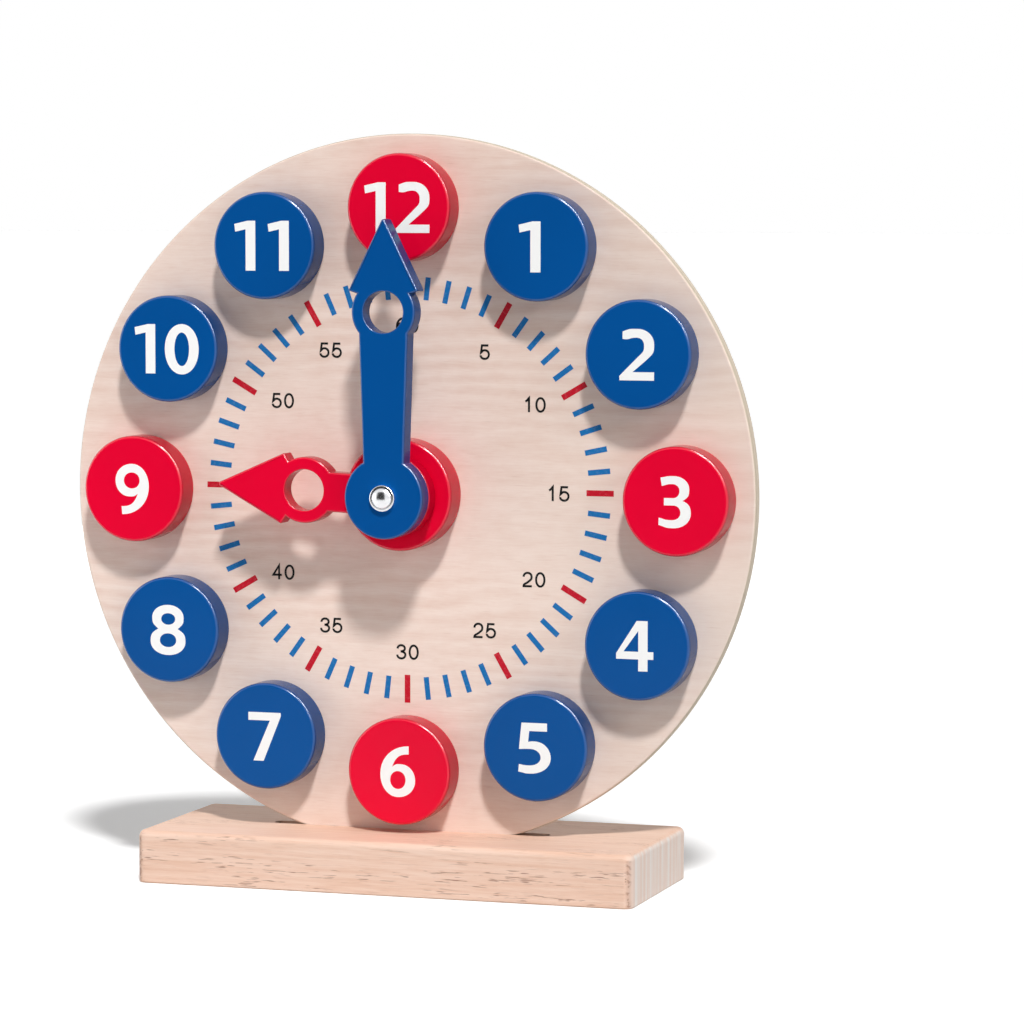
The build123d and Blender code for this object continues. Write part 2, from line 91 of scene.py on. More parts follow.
# ---- Settings ---------------------------------------------------------------------------------------
class ClockColours(bpy.types.PropertyGroup):
    """Colours of paints, inks, woods and fittings."""

    red: colour_setting("Red paint", "ef0233", "Quarter hours' discs, hour hand and boss")
    blue: colour_setting("Blue paint", "03529b", "Other discs and minute hand")
    numeral: colour_setting("Numeral ink", "fdfdfc", "Large numerals on the discs")
    tick_blue: colour_setting("Blue tick ink", "1a72b5", "Single minutes")
    tick_red: colour_setting("Red tick ink", "c8162c", "Every fifth minute")
    minute_ink: colour_setting("Minute number ink", "161616", "Small numbers inside the minute ring")
    dial_pale: colour_setting("Dial, pale wood", "f8e4d8", "Ground colour of the dial's veneer")
    # dial_deep also serves as the colour of the painted shade towards the dial's top.
    dial_deep: colour_setting("Dial, grain", "e3c0ae", "Darker lines of the dial's veneer")
    block_pale: colour_setting("Block, pale wood", "f6d8c6", "Ground colour of the standing block")
    block_deep: colour_setting("Block, grain", "e2b498", "Darker growth of the standing block")
    block_pore: colour_setting("Block, pores", "7d4630", "Short open pores of the standing block")
    peg: colour_setting("Peg wood", "d9b48c", "Dowels under the discs")
    cover: colour_setting("Cover plastic", "ece9df", "Moulded cover of the movement")


class ClockPrint(bpy.types.PropertyGroup):
    """Sizes of what is printed on the dial and the discs."""

    ring_radius: length_setting("Ring radius", 61.75, "From the ring's middle to the middle of a tick")
    ring_raise: length_setting("Ring raise", 1.3, "How far the printed ring sits above the pivot")
    ring_shift: length_setting("Ring shift", -0.36, "How far the printed ring sits to the right of the pivot")
    minute_length: length_setting("Minute tick length", 7.0, "Length of a single minute's tick")
    minute_width: length_setting("Minute tick width", 1.65, "Width of a single minute's tick")
    five_length: length_setting("Five tick length", 8.6, "Length of a fifth minute's tick")
    five_width: length_setting("Five tick width", 1.8, "Width of a fifth minute's tick")
    number_height: length_setting("Number height", 4.75, "Height of a small number")
    number_width: length_setting("Digit width", 3.3, "Width of one digit of a small number")
    number_stroke: length_setting("Number stroke", 0.66, "Width of a small number's lines")
    number_gap: length_setting("Digit gap", 0.75, "Space between a small number's digits")
    ink: length_setting("Ink layer", 0.05, "How far the ink stands off its surface")


class ClockHands(bpy.types.PropertyGroup):
    """Sizes of the hands that their outer box doesn't give."""

    hub: length_setting("Hub diameter", 25.0, "Round end of a hand")
    ring: length_setting("Finger ring diameter", 20.2, "Outside of a finger ring")
    hole: length_setting("Finger hole diameter", 12.7, "Inside of a finger ring")
    edge: length_setting("Edge rounding", 0.7, "Rounding of a hand's front edge")
    hole_edge: length_setting("Hole edge rounding", 0.35, "Rounding of a finger hole's front edge")
    tip: length_setting("Tip rounding", 0.8, "Radius of an arrow's tip")
    barb: length_setting("Barb rounding", 0.5, "Largest radius of an arrow's barbs")
    notch: FloatProperty(
        name="Notch turn",
        description="Where the finger ring meets the arrow, as an angle above level about the ring's middle",
        default=math.radians(33),
        subtype="ANGLE",
    )
    minute_ring: length_setting("Minute ring", 56.1, "From the pivot to the minute hand's finger hole")
    minute_rise: length_setting("Minute barb rise", 6.4, "From that hole's middle up to the barbs")
    minute_head: length_setting("Minute head", 22.4, "From the barbs to the tip")
    minute_half: length_setting("Minute half width", 11.15, "From the middle line to a barb")
    minute_arm_hub: length_setting("Minute arm at hub", 12.4, "Width of the minute hand's arm at its hub")
    minute_arm_ring: length_setting("Minute arm at ring", 16.0, "Width of the minute hand's arm at its ring")
    hour_ring: length_setting("Hour ring", 28.0, "From the pivot to the hour hand's finger hole")
    hour_rise: length_setting("Hour barb rise", 7.1, "From that hole's middle up to the barbs")
    hour_head: length_setting("Hour head", 21.9, "From the barbs to the tip")
    hour_half: length_setting("Hour half width", 10.9, "From the middle line to a barb")
    hour_arm: length_setting("Hour arm", 12.1, "Width of the hour hand's arm")
    hour_turn: FloatProperty(
        name="Hour hand turn",
        description="Angle of the hour hand, clockwise from twelve",
        default=math.radians(272.9),
        subtype="ANGLE",
    )


class ClockStudio(bpy.types.PropertyGroup):
    """Camera and lights."""

    camera_right: FloatProperty(
        name="Camera right", description="Camera's place right of the pivot", default=0.40993, unit="LENGTH"
    )
    camera_front: FloatProperty(
        name="Camera front", description="Camera's place in front of the dial", default=1.17235, unit="LENGTH"
    )
    camera_above: FloatProperty(
        name="Camera above", description="Camera's place above the pivot", default=0.08802, unit="LENGTH"
    )
    yaw: FloatProperty(
        name="Yaw", description="Camera's turn to the left", default=math.radians(17.806), subtype="ANGLE"
    )
    pitch: FloatProperty(
        name="Pitch", description="Camera's tilt down", default=math.radians(4.320), subtype="ANGLE"
    )
    roll: FloatProperty(
        name="Roll", description="Camera's turn about its own view", default=math.radians(0.061), subtype="ANGLE"
    )
    lens: FloatProperty(name="Lens", description="Focal length in millimetres", default=142.48, min=1)
    key: FloatProperty(name="Key light", description="Strength of the far key light", default=2.37, min=0)
    key_spread: FloatProperty(
        name="Key spread", description="How wide the key light looks", default=math.radians(6), subtype="ANGLE"
    )
    fill: FloatProperty(name="Left light", description="Power of the near left light in watts", default=0.4, min=0)
    side: FloatProperty(name="Side light", description="Power of the side light in watts", default=2.9, min=0)
    back: FloatProperty(name="Back light", description="Power of the low light behind in watts", default=1.5, min=0)
    rim: FloatProperty(name="Rim light", description="Power of the strip that only glossy rims show", default=38, min=0)
    sky: FloatProperty(name="Sky", description="Strength of the even light all round", default=0.21, min=0)
    floor: FloatProperty(name="Floor", description="Share of the light that the floor gives back", default=0.65, min=0)
    glow: FloatProperty(name="Floor glow", description="What the seen floor adds to its own shadows", default=0.2, min=0)


# ---- Materials --------------------------------------------------------------------------------------
class Term:
    """One shader socket; arithmetic on it adds the Math nodes."""

    def __init__(self, finish, socket):
        self.finish = finish
        self.socket = socket

    def maths(self, operation, *values):
        return self.finish.term("ShaderNodeMath", {"operation": operation}, values)

    def __add__(self, other):
        return self.maths("ADD", self, other)

    __radd__ = __add__

    def __sub__(self, other):
        return self.maths("SUBTRACT", self, other)

    def __rsub__(self, other):
        return self.maths("SUBTRACT", other, self)

    def __mul__(self, other):
        return self.maths("MULTIPLY", self, other)

    __rmul__ = __mul__

    def __truediv__(self, other):
        return self.maths("DIVIDE", self, other)

    def __pow__(self, other):
        return self.maths("POWER", self, other)

    def __abs__(self):
        return self.maths("ABSOLUTE", self)

    def rise(self, low, high):
        """0 below low, 1 above high and smooth between them."""
        settings = {"interpolation_type": "SMOOTHSTEP"}
        return self.finish.term("ShaderNodeMapRange", settings, (self, low, high, 0.0, 1.0))

    def wave(self):
        """Sine of this many turns, from 0 to 1."""
        return self.maths("SINE", self * TURN) * 0.5 + 0.5


class Finish:
    """A material under construction around one principled shader."""

    def __init__(self, name, **constants):
        self.material = bpy.data.materials.new(name)
        self.material.use_nodes = True
        self.nodes = self.material.node_tree.nodes
        self.shader = self.nodes["Principled BSDF"]
        for socket, value in constants.items():
            self.put(self.shader.inputs[socket.replace("_", " ")], value)

    def put(self, socket, value):
        """Link a term to a socket, or set the socket's own value."""
        if isinstance(value, Term):
            self.material.node_tree.links.new(value.socket, socket)
        elif socket.type == "RGBA" and len(value) == 3:
            socket.default_value = (*value, 1.0)
        else:
            socket.default_value = value

    def term(self, kind, settings=None, values=(), output=0, **named):
        """Add any node; give its settings first, then its sockets by order or by name."""
        node = self.nodes.new(kind)
        for setting, value in (settings or {}).items():
            if setting == "stops":
                ramp = node.color_ramp.elements
                while len(ramp) < len(value):
                    ramp.new(1.0)
                for stop, (place, colour) in zip(ramp, value):
                    stop.position = place
                    stop.color = (*colour, 1.0)
            else:
                setattr(node, setting, value)
        for index, value in enumerate(values):
            self.put(node.inputs[index], value)
        for socket, value in named.items():
            self.put(node.inputs[socket.replace("_", " ")], value)
        return Term(self, node.outputs[output])

    def place(self, along=(1, 1, 1), shift=(0, 0, 0), turn=(0, 0, 0)):
        """Object coordinates, scaled to features per metre on each axis."""
        spot = self.term("ShaderNodeTexCoord", output="Object")
        return self.term("ShaderNodeMapping", Vector=spot, Location=shift, Rotation=turn, Scale=along)

    def axis(self, name):
        """One object coordinate in metres."""
        spot = self.term("ShaderNodeTexCoord", output="Object")
        return self.term("ShaderNodeSeparateXYZ", Vector=spot, output=name)

    def facing(self, name):
        """How far the surface faces along one axis, from 0 to 1."""
        normal = self.term("ShaderNodeTexCoord", output="Normal")
        return abs(self.term("ShaderNodeSeparateXYZ", Vector=normal, output=name))

    def noise(self, along, detail=2.0, roughness=0.5, distortion=0.0, shift=(0, 0, 0), turn=(0, 0, 0)):
        return self.term(
            "ShaderNodeTexNoise",
            Vector=self.place(along, shift, turn),
            Scale=1.0,
            Detail=detail,
            Roughness=roughness,
            Distortion=distortion,
        )

    def mix(self, share, first, second, blend="MIX"):
        """Colour that goes from first to second as share goes from 0 to 1."""
        node = self.nodes.new("ShaderNodeMix")
        node.data_type = "RGBA"
        node.blend_type = blend
        self.put(node.inputs[0], share)
        self.put(node.inputs[6], first)
        self.put(node.inputs[7], second)
        return Term(self, node.outputs[2])

    def bump(self, height, depth, strength=1.0):
        """Surface relief: height from 0 to 1, at a depth in metres."""
        normal = self.term("ShaderNodeBump", Height=height, Distance=depth, Strength=strength, output="Normal")
        self.put(self.shader.inputs["Normal"], normal)

    def surface(self, **values):
        """Colour and the other sockets that change over the surface."""
        for socket, value in values.items():
            self.put(self.shader.inputs[socket.replace("_", " ")], value)
        return self.material


def dial_veneer(colours):
    """Pale sanded plywood face, its grain level from left to right with a few soft swirls, with painted shade that
    darkens it towards the top and greys it towards the right edge.
    """
    wood = Finish("Dial veneer", IOR=1.45, Specular_IOR_Level=0.25)
    drift = wood.noise((5, 1, 13), detail=2, shift=(3, 0, 7))
    sway = wood.noise((14, 1, 30), detail=3, shift=(8, 0, 2))
    growth = (wood.axis("Z") * 190 + drift * 9 + sway * 2.5).wave()
    figured = wood.noise((7, 1, 20), detail=1, shift=(1, 0, 9)).rise(0.4, 0.62)
    streaks = wood.noise((45, 1, 420), detail=4, roughness=0.6, distortion=0.8)
    mottle = wood.noise((160, 1, 260), detail=3, roughness=0.6, shift=(4, 0, 1))
    fibre = wood.noise((150, 1, 2000), detail=2, roughness=0.6)
    pores = wood.noise((130, 1, 2600), detail=1, shift=(0, 0, 11)).rise(0.66, 0.76)
    # Painted shade: height mixes the face further towards the grain colour towards its top, so the top looks less lit.
    height = ((wood.axis("Z") - PIVOT.z) / DIAL_RADIUS).rise(-0.3, 1.3)
    right = (wood.axis("X") / DIAL_RADIUS).rise(0.15, 1.0)
    grain = streaks.rise(0.36, 0.72) * 0.2 + growth * figured * 0.3 + fibre.rise(0.35, 0.75) * 0.16
    grain = grain + mottle.rise(0.35, 0.7) * 0.12 - 0.05
    face = wood.mix(grain + height * 0.2, colours.dial_pale, colours.dial_deep)
    # Painted shade: the face turns darker and greyer towards its right edge, where the light falls off.
    face = wood.mix(right * 0.4, face, tone("e8dacd"))
    face = wood.mix(pores * 0.18, face, tone("b98a72"))
    wood.bump(fibre * 0.6 - pores * 0.5, 0.00006, 0.5)
    return wood.surface(Base_Color=face, Roughness=0.5 + fibre * 0.12)


def dial_rim():
    """Edge of the plywood: thin plies that run round the rim."""
    wood = Finish("Dial plies", IOR=1.45)
    depth = (wood.axis("Y") - DIAL_LOW.y) / (DIAL_HIGH.y - DIAL_LOW.y)
    ripple = wood.noise((60, 60, 60), detail=2)
    plies = ((depth + ripple * 0.02) * 1.5).wave()
    fibre = wood.noise((320, 900, 320), detail=3)
    share = plies.rise(0.25, 0.75) * 0.34 + fibre * 0.3
    edge = wood.mix(share, tone("e0d2be"), tone("b6a58d"))
    wood.bump(fibre, 0.00005, 0.5)
    return wood.surface(Base_Color=edge, Roughness=0.58 + fibre * 0.1)


def block_wood(colours):
    """Solid softwood: long grain from end to end, rings and pore ends on the end faces, and painted shade on the top
    faces.
    """
    wood = Finish("Block wood", IOR=1.45, Specular_IOR_Level=0.25)
    sway = wood.noise((6, 22, 22), detail=3, roughness=0.55)
    rings = wood.noise((25, 260, 9), detail=4, roughness=0.62, shift=(5, 2, 6)).rise(0.36, 0.62)
    lines = (wood.axis("Z") * 520 + wood.axis("X") * 9 + sway * 9).wave()
    streaks = wood.noise((22, 560, 560), detail=5, roughness=0.66, distortion=0.4, shift=(2, 5, 1))
    fibre = wood.noise((110, 2400, 2400), detail=3, roughness=0.7)
    patch = wood.noise((17, 70, 190), detail=1, shift=(9, 2, 4)).rise(0.5, 0.6)
    pores = wood.noise((190, 3000, 3000), detail=1, shift=(1, 8, 3)).rise(0.6, 0.7) * (patch * 0.85 + 0.15)
    end = wood.facing("X").rise(0.55, 0.95)
    grain = streaks.rise(0.35, 0.72) * 0.42 + (lines * 0.12 + fibre.rise(0.3, 0.75) * 0.28) * (1 - end)
    body = wood.mix(grain, colours.block_pale, colours.block_deep)
    body = wood.mix(end * 0.85, body, wood.mix(rings, tone("f5efea"), tone("eed7c9")))
    # Painted shade: the faces that look up are mixed a quarter of the way towards a deeper tone, so the top looks no
    # brighter than the front.
    body = wood.mix(wood.facing("Z").rise(0.5, 0.95) * 0.25, body, tone("e8b998"))
    corner = wood.facing("X").rise(0.3, 0.6) * (1 - wood.facing("X").rise(0.75, 0.95))
    corner = corner * (1 - wood.facing("Z").rise(0.05, 0.25))
    specks = wood.noise((900, 900, 900), detail=1, shift=(6, 1, 8)).rise(0.5, 0.6)
    body = wood.mix(corner * (specks * 0.3 + 0.22), body, colours.block_pore)
    body = wood.mix(pores * (1 - end) * 0.6, body, colours.block_pore)
    wood.bump(fibre * 0.5 - pores, 0.00012, 0.6)
    return wood.surface(Base_Color=body, Roughness=0.5 + fibre * 0.14 + pores * 0.2)


def peg_wood(colours):
    """Beech dowel with its grain from front to back."""
    wood = Finish("Peg wood", IOR=1.45)
    fibre = wood.noise((1100, 60, 1100), detail=3, roughness=0.65)
    flecks = wood.noise((700, 160, 700), detail=1, shift=(4, 1, 2)).rise(0.6, 0.7)
    body = wood.mix(fibre.rise(0.25, 0.8) * 0.6, colours.peg, tone("b98c62"))
    body = wood.mix(flecks * 0.4, body, tone("8c6242"))
    wood.bump(fibre, 0.00006, 0.5)
    return wood.surface(Base_Color=body, Roughness=0.55 + fibre * 0.12)


def gloss_paint(name, colour, shift):
    """Sprayed semi-gloss paint over wood: faint orange peel, a soft change of tone, and painted shade on the side
    walls.
    """
    paint = Finish(name, IOR=1.5, Specular_IOR_Level=0.12, Coat_IOR=1.5, Coat_Roughness=0.22)
    drift = paint.noise((22, 22, 22), detail=2, shift=shift)
    peel = paint.noise((520, 520, 520), detail=2, roughness=0.5, shift=shift)
    deep = tuple(c * 0.88 for c in colour)
    body = paint.mix(drift.rise(0.3, 0.7) * 0.5, tuple(colour), deep)
    flat = paint.facing("Y")
    # Painted shade: faces that turn away from the front, the side walls, are darkened to 58 % of the paint so they look
    # less lit.
    body = paint.mix(1 - flat.rise(0.3, 0.9), body, tuple(c * 0.58 for c in colour))
    edge = flat.rise(0.15, 0.45) * (1 - flat.rise(0.93, 0.99))
    paint.bump(peel, 0.00002, 0.12)
    return paint.surface(Base_Color=body, Roughness=0.13 + peel * 0.05 + drift * 0.03, Coat_Weight=edge)


def ink(name, colour, cover=0.5):
    """Pad-printed ink: slightly uneven cover and a dull surface."""
    layer = Finish(name, IOR=1.45, Specular_IOR_Level=0.15)
    mottle = layer.noise((900, 900, 900), detail=2)
    pale = tuple(c + (1 - c) * 0.08 for c in colour)
    body = layer.mix(mottle.rise(0.45, 0.75) * cover, tuple(colour), pale)
    layer.bump(mottle, 0.00002, 0.3)
    return layer.surface(Base_Color=body, Roughness=0.42 + mottle * 0.16)


def metal(name, code, roughness, brush):
    """Turned or plated metal with fine tool marks along one axis."""
    plate = Finish(name, Metallic=1.0)
    marks = plate.noise(brush, detail=3, roughness=0.6)
    worn = tuple(c * 0.8 for c in tone(code))
    body = plate.mix(marks.rise(0.3, 0.8) * 0.4, tone(code), worn)
    plate.bump(marks, 0.00001, 0.2)
    return plate.surface(Base_Color=body, Roughness=roughness + marks * 0.1)


def moulded(name, colour, texture):
    """Moulded plastic with a fine spark-eroded texture."""
    shell = Finish(name, IOR=1.46)
    pits = shell.noise((texture, texture, texture), detail=2)
    cloud = shell.noise((30, 30, 30), detail=2)
    shadow = tuple(c * 0.93 for c in colour)
    body = shell.mix(cloud.rise(0.3, 0.7) * 0.6, tuple(colour), shadow)
    shell.bump(pits, 0.00005, 0.5)
    return shell.surface(Base_Color=body, Roughness=0.42 + pits * 0.16)


# ---- Modelling tools --------------------------------------------------------------------------------
def take(*pieces):
    """Select these pieces alone and make the first one active."""
    bpy.ops.object.select_all(action="DESELECT")
    for piece in pieces:
        piece.select_set(True)
    bpy.context.view_layer.objects.active = pieces[0]


def settle(piece, name):
    """Name a piece and put its place, turn and scale into its mesh."""
    piece.name = name
    take(piece)
    bpy.ops.object.transform_apply(location=True, rotation=True, scale=True)
    return piece


def add_round(name, x, z, radius, front, back, sides):
    """Capped cylinder whose axis runs from front to back."""
    bpy.ops.object.select_all(action="DESELECT")
    bpy.ops.mesh.primitive_cylinder_add(
        vertices=sides,
        radius=radius,
        depth=back - front,
        location=(x, (front + back) / 2, z),
        rotation=(QUARTER, 0, 0),
    )
    piece = settle(bpy.context.object, name)
    for vertex in piece.data.vertices:
        vertex.co.y = front if vertex.co.y < (front + back) / 2 else back
    return piece


def add_block(name, low, high, turn=0.0):
    """Box between two corners, turned clockwise about its own middle as seen from the front."""
    low, high = Vector(low), Vector(high)
    bpy.ops.object.select_all(action="DESELECT")
    bpy.ops.mesh.primitive_cube_add(
        size=1, location=(low + high) / 2, rotation=(0, turn, 0), scale=high - low
    )
    piece = settle(bpy.context.object, name)
    for vertex in piece.data.vertices:
        vertex.co.y = low.y if vertex.co.y < (low.y + high.y) / 2 else high.y
    return piece


class Shaping:
    """Edit mode on one piece, with what to shape picked in code."""

    def __init__(self, piece):
        self.piece = piece

    def __enter__(self):
        take(self.piece)
        bpy.ops.object.mode_set(mode="EDIT")
        return self

    def __exit__(self, *problem):
        bpy.ops.object.mode_set(mode="OBJECT")

    def pick(self, kind, wanted):
        """Select the edges or faces for which wanted is true."""
        bpy.ops.mesh.select_mode(type=kind)
        bpy.ops.mesh.select_all(action="DESELECT")
        mesh = bmesh.from_edit_mesh(self.piece.data)
        for part in mesh.edges if kind == "EDGE" else mesh.faces:
            if wanted(part):
                part.select_set(True)
        bmesh.update_edit_mesh(self.piece.data)
        return self

    def round_edges(self, radius, steps):
        bpy.ops.mesh.bevel(offset=radius, segments=steps, profile=0.5, affect="EDGES", clamp_overlap=False)
        return self

    def push(self, y):
        """Extrude the picked faces from front to back by y."""
        bpy.ops.mesh.extrude_region_move(TRANSFORM_OT_translate={"value": (0, y, 0)})
        return self

    def scale_about(self, centre, factor):
        bpy.ops.transform.resize(value=(factor, 1, factor), center_override=centre)
        return self


def edge_at(axis, value):
    """Picks the edges that lie in the plane where one coordinate has this value."""
    return lambda edge: all(abs(corner.co[axis] - value) < TOUCH for corner in edge.verts)


def edge_along(axis):
    """Picks the edges that run along one axis."""

    def wanted(edge):
        run = edge.verts[1].co - edge.verts[0].co
        return abs(run[axis]) > 0.999 * run.length

    return wanted


def face_at(axis, value):
    """Picks the faces that lie in the plane where one coordinate has this value."""
    return lambda face: all(abs(corner.co[axis] - value) < TOUCH for corner in face.verts)


def sharp_edge(edge):
    return len(edge.link_faces) == 2 and edge.calc_face_angle(0) > math.radians(40)


def apply_modifier(piece, kind, **settings):
    take(piece)
    bpy.ops.object.modifier_add(type=kind)
    modifier = piece.modifiers[-1]
    for setting, value in settings.items():
        setattr(modifier, setting, value)
    bpy.ops.object.modifier_apply(modifier=modifier.name)
    return piece


def combine(piece, tool, operation):
    """Unite a piece with a tool, or cut the tool out of it, and discard the tool."""
    apply_modifier(piece, "BOOLEAN", operation=operation, solver="EXACT", object=tool)
    bpy.data.objects.remove(tool, do_unlink=True)
    return piece


def join(name, pieces):
    take(*pieces)
    bpy.ops.object.join()
    bpy.context.object.name = name
    return bpy.context.object


def clean(piece, spacing=0.02 * MM):
    """Merge corners that fell together and dissolve lines inside flat faces."""
    with Shaping(piece):
        bpy.ops.mesh.select_all(action="SELECT")
        bpy.ops.mesh.remove_doubles(threshold=spacing)
        bpy.ops.mesh.dissolve_limited(angle_limit=math.radians(0.05))
        bpy.ops.mesh.normals_make_consistent(inside=False)
    return piece


def smooth(piece, angle=math.radians(32)):
    """Smooth shading between flat faces that stay flat."""
    take(piece)
    bpy.ops.object.shade_smooth_by_angle(angle=angle)
    return apply_modifier(piece, "WEIGHTED_NORMAL", keep_sharp=True)


def copy_to(piece, name, shift):
    """Copy a finished piece with its own mesh, moved by shift."""
    take(piece)
    bpy.ops.object.duplicate(linked=False)
    bpy.ops.transform.translate(value=shift)
    return settle(bpy.context.object, name)


def dress(piece, body, materials, nodes=()):
    """Give a piece its materials and its place in the frame."""
    piece.data.materials.clear()
    for material in materials:
        piece.data.materials.append(material)
    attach(piece, body)
    if nodes:
        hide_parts(*nodes)
    return piece


def finish_node(node, material):
    """Give a solid that stays as it is its material."""
    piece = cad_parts[node]
    piece.data.materials.clear()
    piece.data.materials.append(material)


def material(name, make, *settings):
    """A material by name, made when it is first asked for."""
    return bpy.data.materials.get(name) or make(*settings)


def red_paint(colours):
    return bpy.data.materials.get("Red paint") or gloss_paint("Red paint", colours.red, (3, 1, 4))


def blue_paint(colours):
    return bpy.data.materials.get("Blue paint") or gloss_paint("Blue paint", colours.blue, (1, 5, 9))


def disc_middle(hour):
    """Place of a disc's middle on the dial, from its solid."""
    low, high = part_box(f"number_disc_{hour:02d}")
    return Vector(((low.x + high.x) / 2, 0, (low.z + high.z) / 2))


# ---- Numerals ---------------------------------------------------------------------------------------
# Outlines of the large numerals in millimetres, about the middle of a digit. A point is a corner, or with a
# third value a smooth point whose line runs at that many degrees; a fourth value gives a corner one
# direction for the line that comes in and one for the line that goes out, where None is straight.
LEVEL, UPRIGHT = 0, 90
NUMERALS = {
    "0": [
        [(0, 7.7, LEVEL), (5.65, 0, UPRIGHT), (0, -7.9, LEVEL), (-5.65, 0, UPRIGHT)],
        [(0, 5.1, LEVEL), (-2.45, 0, UPRIGHT), (0, -5.3, LEVEL), (2.45, 0, UPRIGHT)],
    ],
    "1": [[(1.6, 7.6), (1.6, -7.7), (-1.6, -7.7), (-1.6, 5.0), (-5.0, 4.25), (-5.3, 6.6), (-0.9, 7.6)]],
    "2": [
        [
            (-4.7, 6.9, None, 20),
            (0, 7.7, LEVEL),
            (5.1, 3.1, UPRIGHT),
            (3.1, -1.2, 42),
            (-1.6, -5.2),
            (5.1, -5.2),
            (5.1, -7.7),
            (-5.6, -7.7),
            (-5.7, -6.4),
            (0.6, -0.2, 44),
            (2.0, 2.8, UPRIGHT),
            (-0.3, 5.1, LEVEL),
            (-4.7, 4.7, -10, None),
        ]
    ],
    "3": [
        [
            (-4.5, 7.2, None, 8),
            (-0.4, 7.7, LEVEL),
            (4.4, 3.85, UPRIGHT),
            (2.3, 0.3, 30, -20),
            (4.9, -3.5, UPRIGHT),
            (-0.5, -7.9, LEVEL),
            (-5.1, -7.0, -15, None),
            (-5.0, -4.8, None, -15),
            (-0.9, -5.5, LEVEL),
            (1.7, -3.3, UPRIGHT),
            (-0.4, -1.1, LEVEL, None),
            (-3.4, -1.1),
            (-3.4, 1.1),
            (-0.6, 1.1, None, LEVEL),
            (1.4, 3.3, UPRIGHT),
            (-0.7, 5.3, LEVEL),
            (-4.1, 4.7, 12, None),
        ]
    ],
    "4": [
        [
            (0, 7.7),
            (3.4, 7.7),
            (3.4, -1.6),
            (5.2, -1.6),
            (5.2, -3.9),
            (3.4, -3.9),
            (3.4, -7.5),
            (0.5, -7.5),
            (0.5, -3.9),
            (-6.4, -3.9),
            (-6.4, -2.2),
        ],
        [(0.5, -1.6), (0.5, 4.7), (-4.1, -1.6)],
    ],
    "5": [
        [
            (-4.2, 7.6),
            (3.9, 7.6),
            (3.9, 5.1),
            (-1.75, 5.1),
            (-2.1, 1.8, None, 8),
            (-0.1, 2.0, LEVEL),
            (5.1, -3.0, UPRIGHT),
            (-1.5, -7.9, LEVEL),
            (-5.2, -7.4, -8, None),
            (-5.0, -5.1, None, -8),
            (-1.7, -5.4, LEVEL),
            (1.9, -2.9, UPRIGHT),
            (-1.4, -0.35, LEVEL),
            (-5.0, -0.5),
        ]
    ],
    "6": [
        [
            (3.3, 8.0, None, LEVEL),
            (-5.9, -0.8, UPRIGHT),
            (-0.2, -7.8, LEVEL),
            (5.4, -2.6, UPRIGHT),
            (0.7, 2.4, LEVEL),
            (-2.1, 1.5, 35, 68),
            (3.3, 5.5, LEVEL, None),
        ],
        [(-0.2, 0.25, LEVEL), (2.3, -2.5, UPRIGHT), (-0.2, -5.3, LEVEL), (-2.7, -2.5, UPRIGHT)],
    ],
    "7": [[(-5.5, 7.4), (5.2, 7.4), (5.2, 6.3), (-0.5, -7.7), (-3.9, -7.7), (1.6, 4.9), (-5.5, 4.9)]],
    "8": [
        [
            (-0.2, 7.8, LEVEL),
            (5.0, 3.9, UPRIGHT),
            (3.0, 0.3, 40, -30),
            (5.6, -3.7, UPRIGHT),
            (-0.2, -7.9, LEVEL),
            (-6.1, -3.7, UPRIGHT),
            (-3.5, 0.3, 30, -40),
            (-5.5, 3.9, UPRIGHT),
        ],
        [(-0.2, 5.2, LEVEL), (-2.5, 3.4, UPRIGHT), (-0.2, 1.6, LEVEL), (2.2, 3.4, UPRIGHT)],
        [(-0.2, -1.1, LEVEL), (-3.0, -3.3, UPRIGHT), (-0.2, -5.4, LEVEL), (2.5, -3.3, UPRIGHT)],
    ],
    "9": [
        [
            (-0.4, 7.8, LEVEL),
            (5.3, 0.8, UPRIGHT),
            (-3.7, -8.0, LEVEL, None),
            (-3.9, -5.5, None, LEVEL),
            (1.6, -1.5, 68, 35),
            (-1.2, -2.4, LEVEL),
            (-5.9, 2.6, UPRIGHT),
        ],
        [(-0.4, 5.1, LEVEL), (-3.1, 2.6, UPRIGHT), (-0.4, 0.1, LEVEL), (2.2, 2.6, UPRIGHT)],
    ],
}
# Where each digit of a two-digit hour stands, in millimetres from the disc's middle.
DIGIT_PLACES = {10: (-5.6, 4.85), 11: (-4.25, 6.75), 12: (-5.55, 5.0)}
CURVE_PULL = 0.57  # handle length of a quarter bend, as a share of its run

